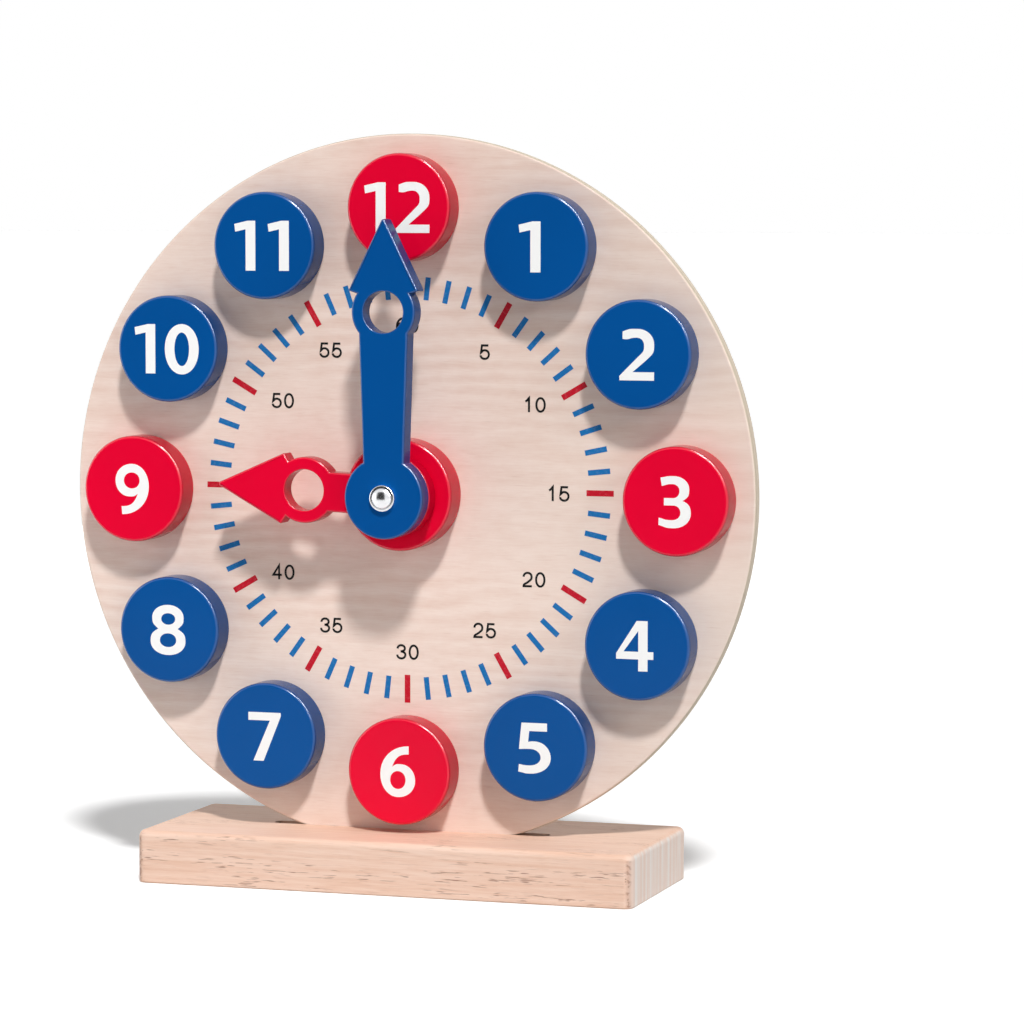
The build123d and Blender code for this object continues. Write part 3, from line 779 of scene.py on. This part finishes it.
# Pen strokes of the small digits, from -0.5 to 0.5 across and up, in the same notation.
PEN_STROKES = {
    "0": [[(0, 0.5, LEVEL), (0.5, 0, UPRIGHT), (0, -0.5, LEVEL), (-0.5, 0, UPRIGHT), (0, 0.5, LEVEL)]],
    "1": [[(0.14, -0.55), (0.14, 0.5, UPRIGHT, None), (-0.3, 0.24, 25, None)]],
    "2": [
        [
            (-0.48, 0.2, UPRIGHT),
            (0, 0.5, LEVEL),
            (0.48, 0.22, UPRIGHT),
            (0.1, -0.16, 40),
            (-0.48, -0.5, UPRIGHT, None),
            (0.52, -0.5),
        ]
    ],
    "3": [
        [(-0.46, 0.24, UPRIGHT), (0, 0.5, LEVEL), (0.44, 0.26, UPRIGHT), (-0.08, 0.03, LEVEL)],
        [(-0.08, 0.03, LEVEL), (0.5, -0.22, UPRIGHT), (0, -0.5, LEVEL), (-0.5, -0.22, UPRIGHT)],
    ],
    "4": [[(0.56, -0.22), (-0.5, -0.22), (0.22, 0.5), (0.22, -0.56)]],
    "5": [
        [
            (0.44, 0.5),
            (-0.34, 0.5),
            (-0.45, -0.03, None, 40),
            (0, 0.14, LEVEL),
            (0.5, -0.17, UPRIGHT),
            (0, -0.5, LEVEL),
            (-0.5, -0.24, UPRIGHT),
        ]
    ],
    "6": [
        [
            (0.3, 0.5, LEVEL),
            (-0.5, -0.12, UPRIGHT),
            (0, -0.5, LEVEL),
            (0.5, -0.17, UPRIGHT),
            (0.02, 0.13, LEVEL),
            (-0.48, -0.17, UPRIGHT),
        ]
    ],
}
BEND_STEPS = 10


def directions(point):
    """Directions in degrees of the line into and out of a point; None is straight."""
    if len(point) == 2:
        return None, None
    if len(point) == 3:
        return point[2], point[2]
    return point[2], point[3]


def handle(start, end, degrees):
    """Curve handle at start for the bend towards end."""
    run = end - start
    if degrees is None:
        return start + run / 3
    way = Vector((math.cos(math.radians(degrees)), math.sin(math.radians(degrees))))
    return start + way * (run.dot(way) * CURVE_PULL)


def outline_curve(name, contours, spots, layer):
    """Flat filled curve of several contours, each at its own spot, as thick as the ink."""
    curve = bpy.data.curves.new(name, "CURVE")
    curve.dimensions = "2D"
    curve.fill_mode = "BOTH"
    curve.extrude = layer
    curve.resolution_u = BEND_STEPS
    for contour, spot in zip(contours, spots):
        spline = curve.splines.new("BEZIER")
        spline.bezier_points.add(len(contour) - 1)
        spline.use_cyclic_u = True
        places = [(Vector(point[:2]) + Vector((spot, 0))) * MM for point in contour]
        for index, point in enumerate(contour):
            here = places[index]
            before, after = places[index - 1], places[(index + 1) % len(places)]
            into, out = directions(point)
            knot = spline.bezier_points[index]
            knot.co = (*here, 0)
            knot.handle_left_type = knot.handle_right_type = "FREE"
            knot.handle_left = (*handle(here, before, into), 0)
            knot.handle_right = (*handle(here, after, out), 0)
    piece = bpy.data.objects.new(name, curve)
    bpy.context.scene.collection.objects.link(piece)
    return piece


def print_on(piece, name, x, surface, z):
    """Make a flat curve a mesh and lay it on a surface that faces the front."""
    take(piece)
    bpy.ops.object.convert(target="MESH")
    piece = bpy.context.object
    piece.rotation_euler = (QUARTER, 0, 0)
    piece.location = (x, surface, z)
    settle(piece, name)
    with Shaping(piece):
        bpy.ops.mesh.select_all(action="SELECT")
        bpy.ops.mesh.remove_doubles(threshold=0.5 * TOUCH)
        bpy.ops.mesh.normals_make_consistent(inside=False)
    return piece


def stroke_line(stroke, width, height):
    """Points along a pen stroke."""
    knots = [Vector((point[0] * width, point[1] * height)) for point in stroke]
    line = [knots[0]]
    for index in range(len(knots) - 1):
        start, end = knots[index], knots[index + 1]
        out, into = directions(stroke[index])[1], directions(stroke[index + 1])[0]
        if out is None and into is None:
            line.append(end)
            continue
        first, second = handle(start, end, out), handle(end, start, into)
        for step in range(1, BEND_STEPS + 1):
            t = step / BEND_STEPS
            u = 1 - t
            line.append(start * u**3 + first * 3 * u**2 * t + second * 3 * u * t**2 + end * t**3)
    return line


def pen_ribbon(name, stroke, width, height, pen, x, surface, z, layer):
    """One pen stroke as a flat strip of even width, with mitred corners."""
    line = stroke_line(stroke, width, height)
    closed = (line[0] - line[-1]).length < TOUCH
    if closed:
        line.pop()
    sides = []
    for index, point in enumerate(line):
        before = line[index - 1] if index or closed else None
        after = line[(index + 1) % len(line)] if index < len(line) - 1 or closed else None
        ways = [w.normalized() for w in (point - before if before else None, after - point if after else None) if w]
        way = sum(ways, Vector((0, 0))).normalized()
        side = Vector((-way.y, way.x)) * (pen / 2 / max(0.35, way.dot(ways[0])))
        sides.append((point + side, point - side))
    corners = [(x + p.x, surface - layer, z + p.y) for pair in sides for p in pair]
    count = len(sides)
    runs = range(count if closed else count - 1)
    faces = [(2 * i, 2 * i + 1, (2 * i + 3) % (2 * count), (2 * i + 2) % (2 * count)) for i in runs]
    mesh = bpy.data.meshes.new(name)
    mesh.from_pydata(corners, [], faces)
    piece = bpy.data.objects.new(name, mesh)
    bpy.context.scene.collection.objects.link(piece)
    with Shaping(piece) as shaping:
        bpy.ops.mesh.select_all(action="SELECT")
        shaping.push(2 * layer)
        bpy.ops.mesh.select_all(action="SELECT")
        bpy.ops.mesh.normals_make_consistent(inside=False)
    return piece


# ---- Pieces -----------------------------------------------------------------------------------------
class CLOCK_OT_dial(bpy.types.Operator):
    """Round plywood dial with holes for its pegs and bush"""

    bl_idname = "clock.dial"
    bl_label = "Dial"

    def execute(self, context):
        colours = context.scene.clock_colours
        sides, edge, edge_steps, hole_sides = 256, 0.8 * MM, 4, 48
        front, back = DIAL_LOW.y, DIAL_HIGH.y
        dial = add_round("dial", PIVOT.x, PIVOT.z, DIAL_RADIUS, front, back, sides)
        with Shaping(dial) as shaping:
            for plane in (front, back):
                shaping.pick("EDGE", edge_at(1, plane)).round_edges(edge, edge_steps)
            bpy.ops.mesh.select_all(action="SELECT")
            bpy.ops.mesh.bisect(
                plane_co=(0, 0, DIAL_LOW.z), plane_no=(0, 0, -1), clear_outer=True, use_fill=True
            )
        drills = []
        over = 1 * MM
        for hour in range(1, HOURS + 1):
            low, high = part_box(f"number_peg_{hour:02d}")
            middle = (low + high) / 2
            radius = (high.x - low.x) / 2
            drills.append(add_round("drill", middle.x, middle.z, radius, front - over, back + over, hole_sides))
        low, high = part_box("centre_bush")
        plate_low, plate_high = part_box("movement_plate")
        drills.append(add_round("drill", PIVOT.x, PIVOT.z, 5.0 * MM, front - over, back + over, hole_sides))
        combine(dial, join("drills", drills), "DIFFERENCE")
        smooth(dial)
        veneer, rim = dial_veneer(colours), dial_rim()
        dress(dial, "stand", [veneer, rim], ["dial_face"])
        for face in dial.data.polygons:
            face.material_index = 0 if abs(face.normal.y) > 0.75 else 1
        return {"FINISHED"}


class CLOCK_OT_pegs(bpy.types.Operator):
    """Dowels that hold the number discs"""

    bl_idname = "clock.pegs"
    bl_label = "Pegs"

    def execute(self, context):
        wood = peg_wood(context.scene.clock_colours)
        low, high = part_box("number_peg_12")
        middle = (low + high) / 2
        sides, tip = 40, 0.5 * MM
        blank = add_round("peg", middle.x, middle.z, (high.x - low.x) / 2, low.y, high.y, sides)
        with Shaping(blank) as shaping:
            shaping.pick("EDGE", edge_at(1, low.y)).round_edges(tip, 3)
        smooth(blank)
        for hour in range(1, HOURS + 1):
            spot = sum(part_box(f"number_peg_{hour:02d}"), Vector()) / 2
            peg = copy_to(blank, f"peg_{hour:02d}", spot - middle)
            dress(peg, "stand", [wood], [f"number_peg_{hour:02d}"])
        bpy.data.objects.remove(blank, do_unlink=True)
        return {"FINISHED"}


class CLOCK_OT_discs(bpy.types.Operator):
    """Painted number discs, each with its peg's socket and its numeral"""

    bl_idname = "clock.discs"
    bl_label = "Number discs"

    def execute(self, context):
        colours, prints = context.scene.clock_colours, context.scene.clock_print
        sides, front_round, back_round = 112, 1.0 * MM, 0.5 * MM
        low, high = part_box("number_disc_12")
        middle, radius = disc_middle(12), (high.x - low.x) / 2
        peg_low, peg_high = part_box("number_peg_12")
        socket_radius = (peg_high.x - peg_low.x) / 2 + 0.1 * MM
        socket_depth = (high.y - peg_low.y) + 0.6 * MM
        blank = add_round("disc", middle.x, middle.z, radius, low.y, high.y, sides)
        with Shaping(blank) as shaping:
            shaping.pick("EDGE", edge_at(1, low.y)).round_edges(front_round, 6)
            shaping.pick("EDGE", edge_at(1, high.y)).round_edges(back_round, 3)
            shaping.pick("FACE", face_at(1, high.y))
            bpy.ops.mesh.inset(thickness=radius - back_round - socket_radius)
            shaping.push(-socket_depth)
        smooth(blank)
        white = ink("Numeral ink", colours.numeral, 0.2)
        for hour in range(1, HOURS + 1):
            painted = (
                ("red_paint", red_paint(colours)) if hour in RED_HOURS else ("blue_paint", blue_paint(colours))
            )
            spot = disc_middle(hour)
            body = f"disc_{hour:02d}"
            disc = copy_to(blank, f"disc_{hour:02d}_wood", spot - middle)
            dress(disc, body, [painted[1]], [f"number_disc_{hour:02d}"])
            digits = str(hour)
            spots = DIGIT_PLACES.get(hour, (0,))
            contours = [(contour, place) for digit, place in zip(digits, spots) for contour in NUMERALS[digit]]
            curve = outline_curve(
                "numeral", [c for c, _ in contours], [place for _, place in contours], prints.ink
            )
            numeral = print_on(curve, f"numeral_{hour:02d}", spot.x, low.y, spot.z)
            dress(numeral, body, [white])
        bpy.data.objects.remove(blank, do_unlink=True)
        return {"FINISHED"}


class CLOCK_OT_minute_print(bpy.types.Operator):
    """Printed minute ring: sixty ticks and the numbers at every fifth one"""

    bl_idname = "clock.minute_print"
    bl_label = "Minute ring"

    def execute(self, context):
        colours, prints = context.scene.clock_colours, context.scene.clock_print
        middle = PIVOT + Vector((prints.ring_shift, 0, prints.ring_raise))
        ticks = {True: [], False: []}
        for minute in range(MINUTES):
            five = minute % 5 == 0
            turn = TURN * minute / MINUTES
            length = prints.five_length if five else prints.minute_length
            width = prints.five_width if five else prints.minute_width
            spot = middle + Vector((math.sin(turn), 0, math.cos(turn))) * prints.ring_radius
            half = Vector((width / 2, prints.ink, length / 2))
            ticks[five].append(add_block("tick", spot - half, spot + half, turn))
        red = ink("Red tick ink", colours.tick_red)
        blue = ink("Blue tick ink", colours.tick_blue)
        dress(join("five_minute_ticks", ticks[True]), "stand", [red])
        dress(join("minute_ticks", ticks[False]), "stand", [blue])

        # Middles of the small numbers about the ring's own middle, in millimetres.
        across = {5: 25.0, 10: 40.8, 15: 48.4, 20: 40.8, 25: 25.0, 30: 0.0}
        up = {0: 50.3, 5: 42.3, 10: 26.5, 15: -0.4, 20: -26.8, 25: -42.9, 30: -50.36}
        pen, gap = prints.number_stroke, prints.number_gap
        wide, tall = prints.number_width, prints.number_height
        ribbons = []
        for minute in range(5, MINUTES + 1, 5):
            mirrored = min(minute, MINUTES - minute)
            x = across.get(mirrored, 0.0) * (1 if minute <= 30 else -1)
            spot = middle + Vector((x, 0, up[mirrored])) * MM
            digits = str(minute)
            for place, digit in enumerate(digits):
                offset = (place - (len(digits) - 1) / 2) * (wide + gap)
                for stroke in PEN_STROKES.get(digit, ()):
                    ribbons.append(
                        pen_ribbon(
                            "ribbon",
                            stroke,
                            wide - pen,
                            tall - pen,
                            pen,
                            spot.x + offset,
                            PIVOT.y,
                            spot.z,
                            prints.ink,
                        )
                    )
        black = ink("Minute number ink", colours.minute_ink, 0.3)
        dress(join("minute_numbers", ribbons), "stand", [black])
        return {"FINISHED"}


class CLOCK_OT_block(bpy.types.Operator):
    """Standing block with the slot that holds the dial"""

    bl_idname = "clock.block"
    bl_label = "Standing block"

    def execute(self, context):
        low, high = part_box("stand_base")
        corner, top, bottom = 3.0 * MM, 2.0 * MM, 0.6 * MM
        block = add_block("block", low, high)
        with Shaping(block) as shaping:
            shaping.pick("EDGE", edge_along(2)).round_edges(corner, 8)
            shaping.pick("EDGE", edge_at(2, high.z)).round_edges(top, 6)
            shaping.pick("EDGE", edge_at(2, low.z)).round_edges(bottom, 3)
        slot_length, slot_clearance, over = 90.0 * MM, 0.1 * MM, 5 * MM
        slot_low = (-slot_length / 2, DIAL_LOW.y - slot_clearance, DIAL_LOW.z)
        slot_high = (slot_length / 2, DIAL_HIGH.y + slot_clearance, high.z + over)
        cutter = add_block("slot", slot_low, slot_high)
        with Shaping(cutter) as shaping:
            half = 0.499 * (slot_high[1] - slot_low[1])
            shaping.pick("EDGE", edge_along(2)).round_edges(half, 8)
        combine(block, cutter, "DIFFERENCE")
        smooth(block)
        dress(block, "stand", [block_wood(context.scene.clock_colours)], ["stand_base"])
        return {"FINISHED"}


class CLOCK_OT_boss(bpy.types.Operator):
    """Red boss that carries the hands, with its bush"""

    bl_idname = "clock.boss"
    bl_label = "Boss"

    def execute(self, context):
        colours = context.scene.clock_colours
        low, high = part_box("centre_boss")
        bush_low, bush_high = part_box("centre_bush")
        boss = add_round("boss", PIVOT.x, PIVOT.z, (high.x - low.x) / 2, low.y, high.y, 112)
        with Shaping(boss) as shaping:
            shaping.pick("EDGE", edge_at(1, low.y)).round_edges(1.0 * MM, 6)
            shaping.pick("EDGE", edge_at(1, high.y)).round_edges(0.5 * MM, 3)
        flange = (bush_high.x - bush_low.x) / 2
        seat = add_round("seat", PIVOT.x, PIVOT.z, flange, low.y - 1 * MM, low.y + 1.5 * MM, 64)
        combine(boss, seat, "DIFFERENCE")
        smooth(boss)
        dress(boss, "stand", [red_paint(colours)], ["centre_boss"])
        finish_node("centre_bush", metal("Turned brass", "d2ae62", 0.26, (900, 60, 900)))
        finish_node("hour_spacer", material("Nylon", moulded, "Nylon", tone("e6e5de"), 900))
        return {"FINISHED"}


def cut_hole(piece, x, z, radius, front, back, rim):
    """Drill through a piece from front to back, and round the hole's front edge."""
    over, steps = 1 * MM, 4
    drill = add_round("drill", x, z, radius, front + rim, back + over, 72)
    with Shaping(drill) as shaping:
        shaping.pick("FACE", face_at(1, front + rim))
        reach, depth = radius, rim
        for step in range(1, steps + 1):
            turn = QUARTER * step / steps
            wider, left = radius + rim * (1 - math.cos(turn)), rim * (1 - math.sin(turn))
            shaping.push(left - depth)
            shaping.scale_about((x, front, z), wider / reach)
            reach, depth = wider, left
        shaping.push(-over)
    return combine(piece, drill, "DIFFERENCE")


def model_hand(name, front, back, ring, rise, head, half, arm_hub, arm_ring, bore, hands):
    """A hand that points up from the pivot: hub, tapered arm, finger ring and arrow head."""
    hub = add_round(name, PIVOT.x, PIVOT.z, hands.hub / 2, front, back, 96)
    ring_z, barb_z, tip_z = PIVOT.z + ring, PIVOT.z + ring + rise, PIVOT.z + ring + rise + head
    arm = add_block(
        "arm", (PIVOT.x - arm_hub / 2, front, PIVOT.z), (PIVOT.x + arm_hub / 2, back, ring_z)
    )
    with Shaping(arm) as shaping:
        shaping.pick("FACE", face_at(2, ring_z))
        shaping.scale_about((PIVOT.x, front, ring_z), arm_ring / arm_hub)
    finger = add_round("finger", PIVOT.x, ring_z, hands.ring / 2, front, back, 96)
    notch_x = hands.ring / 2 * math.cos(hands.notch)
    notch_z = ring_z + hands.ring / 2 * math.sin(hands.notch)
    corners = [
        (PIVOT.x, tip_z),
        (PIVOT.x - half, barb_z),
        (PIVOT.x - notch_x, notch_z),
        (PIVOT.x, ring_z),
        (PIVOT.x + notch_x, notch_z),
        (PIVOT.x + half, barb_z),
    ]
    bpy.ops.object.select_all(action="DESELECT")
    bpy.ops.mesh.primitive_circle_add(vertices=len(corners), radius=half, fill_type="NGON")
    arrow = bpy.context.object
    for vertex, (x, z) in zip(arrow.data.vertices, corners):
        vertex.co = (x, front, z)
    with Shaping(arrow) as shaping:
        bpy.ops.mesh.select_all(action="SELECT")
        shaping.push(back - front)
        bpy.ops.mesh.select_all(action="SELECT")
        bpy.ops.mesh.normals_make_consistent(inside=False)
        slope = math.atan2(half, head)
        edge = math.dist((notch_x, notch_z), (half, barb_z))
        barb_angle = QUARTER - slope + math.atan2(barb_z - notch_z, half - notch_x)
        barb_run = min(hands.barb / math.tan(barb_angle / 2), edge / 2)
        upright = edge_along(1)
        shaping.pick("EDGE", lambda e: upright(e) and abs(e.verts[0].co.z - tip_z) < TOUCH)
        shaping.round_edges(hands.tip / math.tan(slope), 6)
        shaping.pick("EDGE", lambda e: upright(e) and abs(e.verts[0].co.z - barb_z) < TOUCH)
        shaping.round_edges(barb_run, 5)
    for other in (arm, finger, arrow):
        combine(hub, other, "UNION")
    clean(hub)
    on_front = edge_at(1, front)
    with Shaping(hub) as shaping:
        shaping.pick("EDGE", lambda e: on_front(e) and sharp_edge(e)).round_edges(hands.edge, 4)
    cut_hole(hub, PIVOT.x, ring_z, hands.hole / 2, front, back, hands.hole_edge)
    cut_hole(hub, PIVOT.x, PIVOT.z, bore, front, back, 0.1 * MM)
    return hub


class CLOCK_OT_hands(bpy.types.Operator):
    """Hour and minute hands, with the washer between them"""

    bl_idname = "clock.hands"
    bl_label = "Hands"

    def execute(self, context):
        colours, hands = context.scene.clock_colours, context.scene.clock_hands
        low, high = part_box("minute_hand")
        arbor_low, arbor_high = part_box("minute_arbor")
        minute = model_hand(
            "minute_pointer",
            low.y,
            high.y,
            hands.minute_ring,
            hands.minute_rise,
            hands.minute_head,
            hands.minute_half,
            hands.minute_arm_hub,
            hands.minute_arm_ring,
            (arbor_high.x - arbor_low.x) / 2,
            hands,
        )
        smooth(minute)
        dress(minute, "minute_hand_group", [blue_paint(colours)], ["minute_hand"])
        low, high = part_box("hour_hand")
        hour = model_hand(
            "hour_pointer",
            low.y,
            high.y,
            hands.hour_ring,
            hands.hour_rise,
            hands.hour_head,
            hands.hour_half,
            hands.hour_arm,
            hands.hour_arm,
            3.5 * MM,
            hands,
        )
        swing = Matrix.Rotation(hands.hour_turn, 4, "Y")
        hour.data.transform(Matrix.Translation(PIVOT) @ swing @ Matrix.Translation(-PIVOT))
        smooth(hour)
        dress(hour, "hour_hand_group", [red_paint(colours)], ["hour_hand"])
        finish_node("hand_washer", material("Nylon", moulded, "Nylon", tone("e6e5de"), 900))
        return {"FINISHED"}


class CLOCK_OT_cap(bpy.types.Operator):
    """Bright domed nut that holds the hands"""

    bl_idname = "clock.cap"
    bl_label = "Cap nut"

    def execute(self, context):
        low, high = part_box("cap_nut")
        flange, dome, bevel = (high.x - low.x) / 2, 3.1 * MM, 0.3 * MM
        dome_height = 1.2 * MM
        shoulder = low.y + dome_height
        cap = add_round("bright_cap", PIVOT.x, PIVOT.z, flange, shoulder, high.y, 72)
        with Shaping(cap) as shaping:
            shaping.pick("EDGE", edge_at(1, shoulder)).round_edges(bevel, 3)
            shaping.pick("FACE", face_at(1, shoulder))
            bpy.ops.mesh.inset(thickness=flange - bevel - dome)
            steps, reach, rise = 7, 1.0, 0.0
            for step in range(1, steps + 1):
                turn = QUARTER * step / (steps + 0.6)
                shaping.push(-dome_height * (math.sin(turn) - rise))
                shaping.scale_about((PIVOT.x, shoulder, PIVOT.z), math.cos(turn) / reach)
                reach, rise = math.cos(turn), math.sin(turn)
        smooth(cap, math.radians(40))
        dress(cap, "minute_hand_group", [metal("Bright chrome", "e9eaec", 0.13, (500, 500, 500))], ["cap_nut"])
        return {"FINISHED"}


class CLOCK_OT_movement(bpy.types.Operator):
    """Gears, arbor, plate, cover and screws on the dial's back"""

    bl_idname = "clock.movement"
    bl_label = "Movement"

    def execute(self, context):
        colours = context.scene.clock_colours
        cover = moulded("Cover plastic", colours.cover, 1400)
        steel = metal("Ground steel", "b9bcc1", 0.3, (1200, 90, 1200))
        gear = moulded("Gear plastic", tone("e9e6da"), 700)
        for node in ("movement_plate", "movement_cover"):
            finish_node(node, cover)
        for node in ("minute_arbor", "idler_stud", "cover_screws"):
            finish_node(node, steel)
        for node in ("minute_pinion", "hour_wheel", "idler_gear"):
            finish_node(node, gear)
        return {"FINISHED"}


class CLOCK_OT_stage(bpy.types.Operator):
    """Pale floor, soft lights and the camera"""

    bl_idname = "clock.stage"
    bl_label = "Stage"

    def execute(self, context):
        studio = context.scene.clock_studio
        scene = context.scene
        scene.view_settings.view_transform = "Standard"

        bpy.ops.object.select_all(action="DESELECT")
        bpy.ops.mesh.primitive_plane_add(size=60, location=(0, 0, 0))
        floor = settle(context.object, "floor")
        ground = Finish("Studio floor", Roughness=0.9, Specular_IOR_Level=0.0, Emission_Strength=1.0)
        shown = ground.term("ShaderNodeLightPath", output="Is Camera Ray")
        for ray in ("Is Glossy Ray", "Is Transmission Ray"):
            shown = shown.maths("MAXIMUM", shown, ground.term("ShaderNodeLightPath", output=ray))
        ground.surface(
            Base_Color=ground.mix(shown, (studio.floor,) * 3, (1, 1, 1)),
            Emission_Color=ground.mix(shown, (0, 0, 0), (studio.glow,) * 3),
        )
        floor.data.materials.append(ground.material)

        world = bpy.data.worlds.new("Studio")
        scene.world = world
        world.use_nodes = True
        nodes, links = world.node_tree.nodes, world.node_tree.links
        path = nodes.new("ShaderNodeLightPath")
        shown = path.outputs["Is Camera Ray"]
        for ray in ("Is Glossy Ray", "Is Transmission Ray"):
            either = nodes.new("ShaderNodeMath")
            either.operation = "MAXIMUM"
            links.new(shown, either.inputs[0])
            links.new(path.outputs[ray], either.inputs[1])
            shown = either.outputs[0]
        strength = nodes.new("ShaderNodeMapRange")
        strength.inputs["To Min"].default_value = studio.sky
        strength.inputs["To Max"].default_value = 1.0
        links.new(shown, strength.inputs["Value"])
        backdrop = nodes["Background"]
        backdrop.inputs["Color"].default_value = (1, 1, 1, 1)
        links.new(strength.outputs["Result"], backdrop.inputs["Strength"])

        def lamp(name, kind, towards, distance):
            light = bpy.data.lights.new(name, kind)
            piece = bpy.data.objects.new(name, light)
            scene.collection.objects.link(piece)
            way = Vector(towards).normalized()
            piece.location = PIVOT + way * distance
            piece.rotation_euler = (-way).to_track_quat("-Z", "Y").to_euler()
            piece.visible_camera = False
            return piece

        key = lamp("key", "SUN", (0.47, -1.0, 1.42), 2.0).data
        key.energy, key.angle = studio.key, studio.key_spread
        for name, towards, distance, size, power in (
            ("left", (-1.0, -0.5, 0.1), 0.5, 0.3, studio.fill),
            ("side", (1.0, -0.45, 0.5), 1.4, 0.4, studio.side),
            ("back", (-0.5, 1.0, 0.12), 1.4, 0.8, studio.back),
        ):
            light = lamp(name, "AREA", towards, distance).data
            light.shape, light.size, light.energy = "DISK", size, power

        # A strip high on the right, seen only in glossy faces, draws a line of light along their rims.
        strip = lamp("rim", "AREA", (0.55, -0.29, 0.78), 1.4)
        strip.data.shape, strip.data.size, strip.data.size_y = "RECTANGLE", 0.16, 1.25
        strip.data.energy = studio.rim
        strip.visible_diffuse = False

        # A dark card off to the left, seen only in the glossy faces, keeps their colours deep.
        bpy.ops.object.select_all(action="DESELECT")
        bpy.ops.mesh.primitive_plane_add(size=0.66, location=(-0.28, -0.8, 0.331), rotation=(QUARTER, 0, 0))
        card = settle(context.object, "dark_card")
        card.data.materials.append(Finish("Dark card", Base_Color=(0.004, 0.004, 0.004), Roughness=0.9).material)
        card.visible_camera = card.visible_diffuse = card.visible_shadow = card.visible_transmission = False

        camera = bpy.data.cameras.new("camera")
        camera.sensor_width = 36
        camera.lens = studio.lens
        camera.clip_start = 0.01
        viewer = bpy.data.objects.new("camera", camera)
        scene.collection.objects.link(viewer)
        spot = PIVOT + Vector((studio.camera_right, -studio.camera_front, studio.camera_above))
        turn = (
            Matrix.Rotation(studio.yaw, 4, "Z")
            @ Matrix.Rotation(QUARTER - studio.pitch, 4, "X")
            @ Matrix.Rotation(studio.roll, 4, "Z")
        )
        viewer.matrix_world = Matrix.Translation(spot) @ turn
        scene.camera = viewer
        return {"FINISHED"}


SETTINGS = {
    "clock_colours": ClockColours,
    "clock_print": ClockPrint,
    "clock_hands": ClockHands,
    "clock_studio": ClockStudio,
}
PIECES = (
    CLOCK_OT_dial,
    CLOCK_OT_pegs,
    CLOCK_OT_discs,
    CLOCK_OT_minute_print,
    CLOCK_OT_block,
    CLOCK_OT_boss,
    CLOCK_OT_hands,
    CLOCK_OT_cap,
    CLOCK_OT_movement,
    CLOCK_OT_stage,
)


class VIEW3D_PT_clock(bpy.types.Panel):
    """Lists the pieces of the clock"""

    bl_label = "Teaching clock"
    bl_idname = "VIEW3D_PT_clock"
    bl_space_type = "VIEW_3D"
    bl_region_type = "UI"
    bl_category = "Clock"

    def draw(self, context):
        for piece in PIECES:
            self.layout.operator(piece.bl_idname)


CLASSES = (*SETTINGS.values(), *PIECES, VIEW3D_PT_clock)


def register():
    for cls in CLASSES:
        bpy.utils.register_class(cls)
    for name, group in SETTINGS.items():
        setattr(bpy.types.Scene, name, PointerProperty(type=group))


def unregister():
    for name in SETTINGS:
        delattr(bpy.types.Scene, name)
    for cls in reversed(CLASSES):
        bpy.utils.unregister_class(cls)


def main():
    register()
    for piece in PIECES:
        group, name = piece.bl_idname.split(".")
        getattr(getattr(bpy.ops, group), name)()


if __name__ == "__main__":
    main()
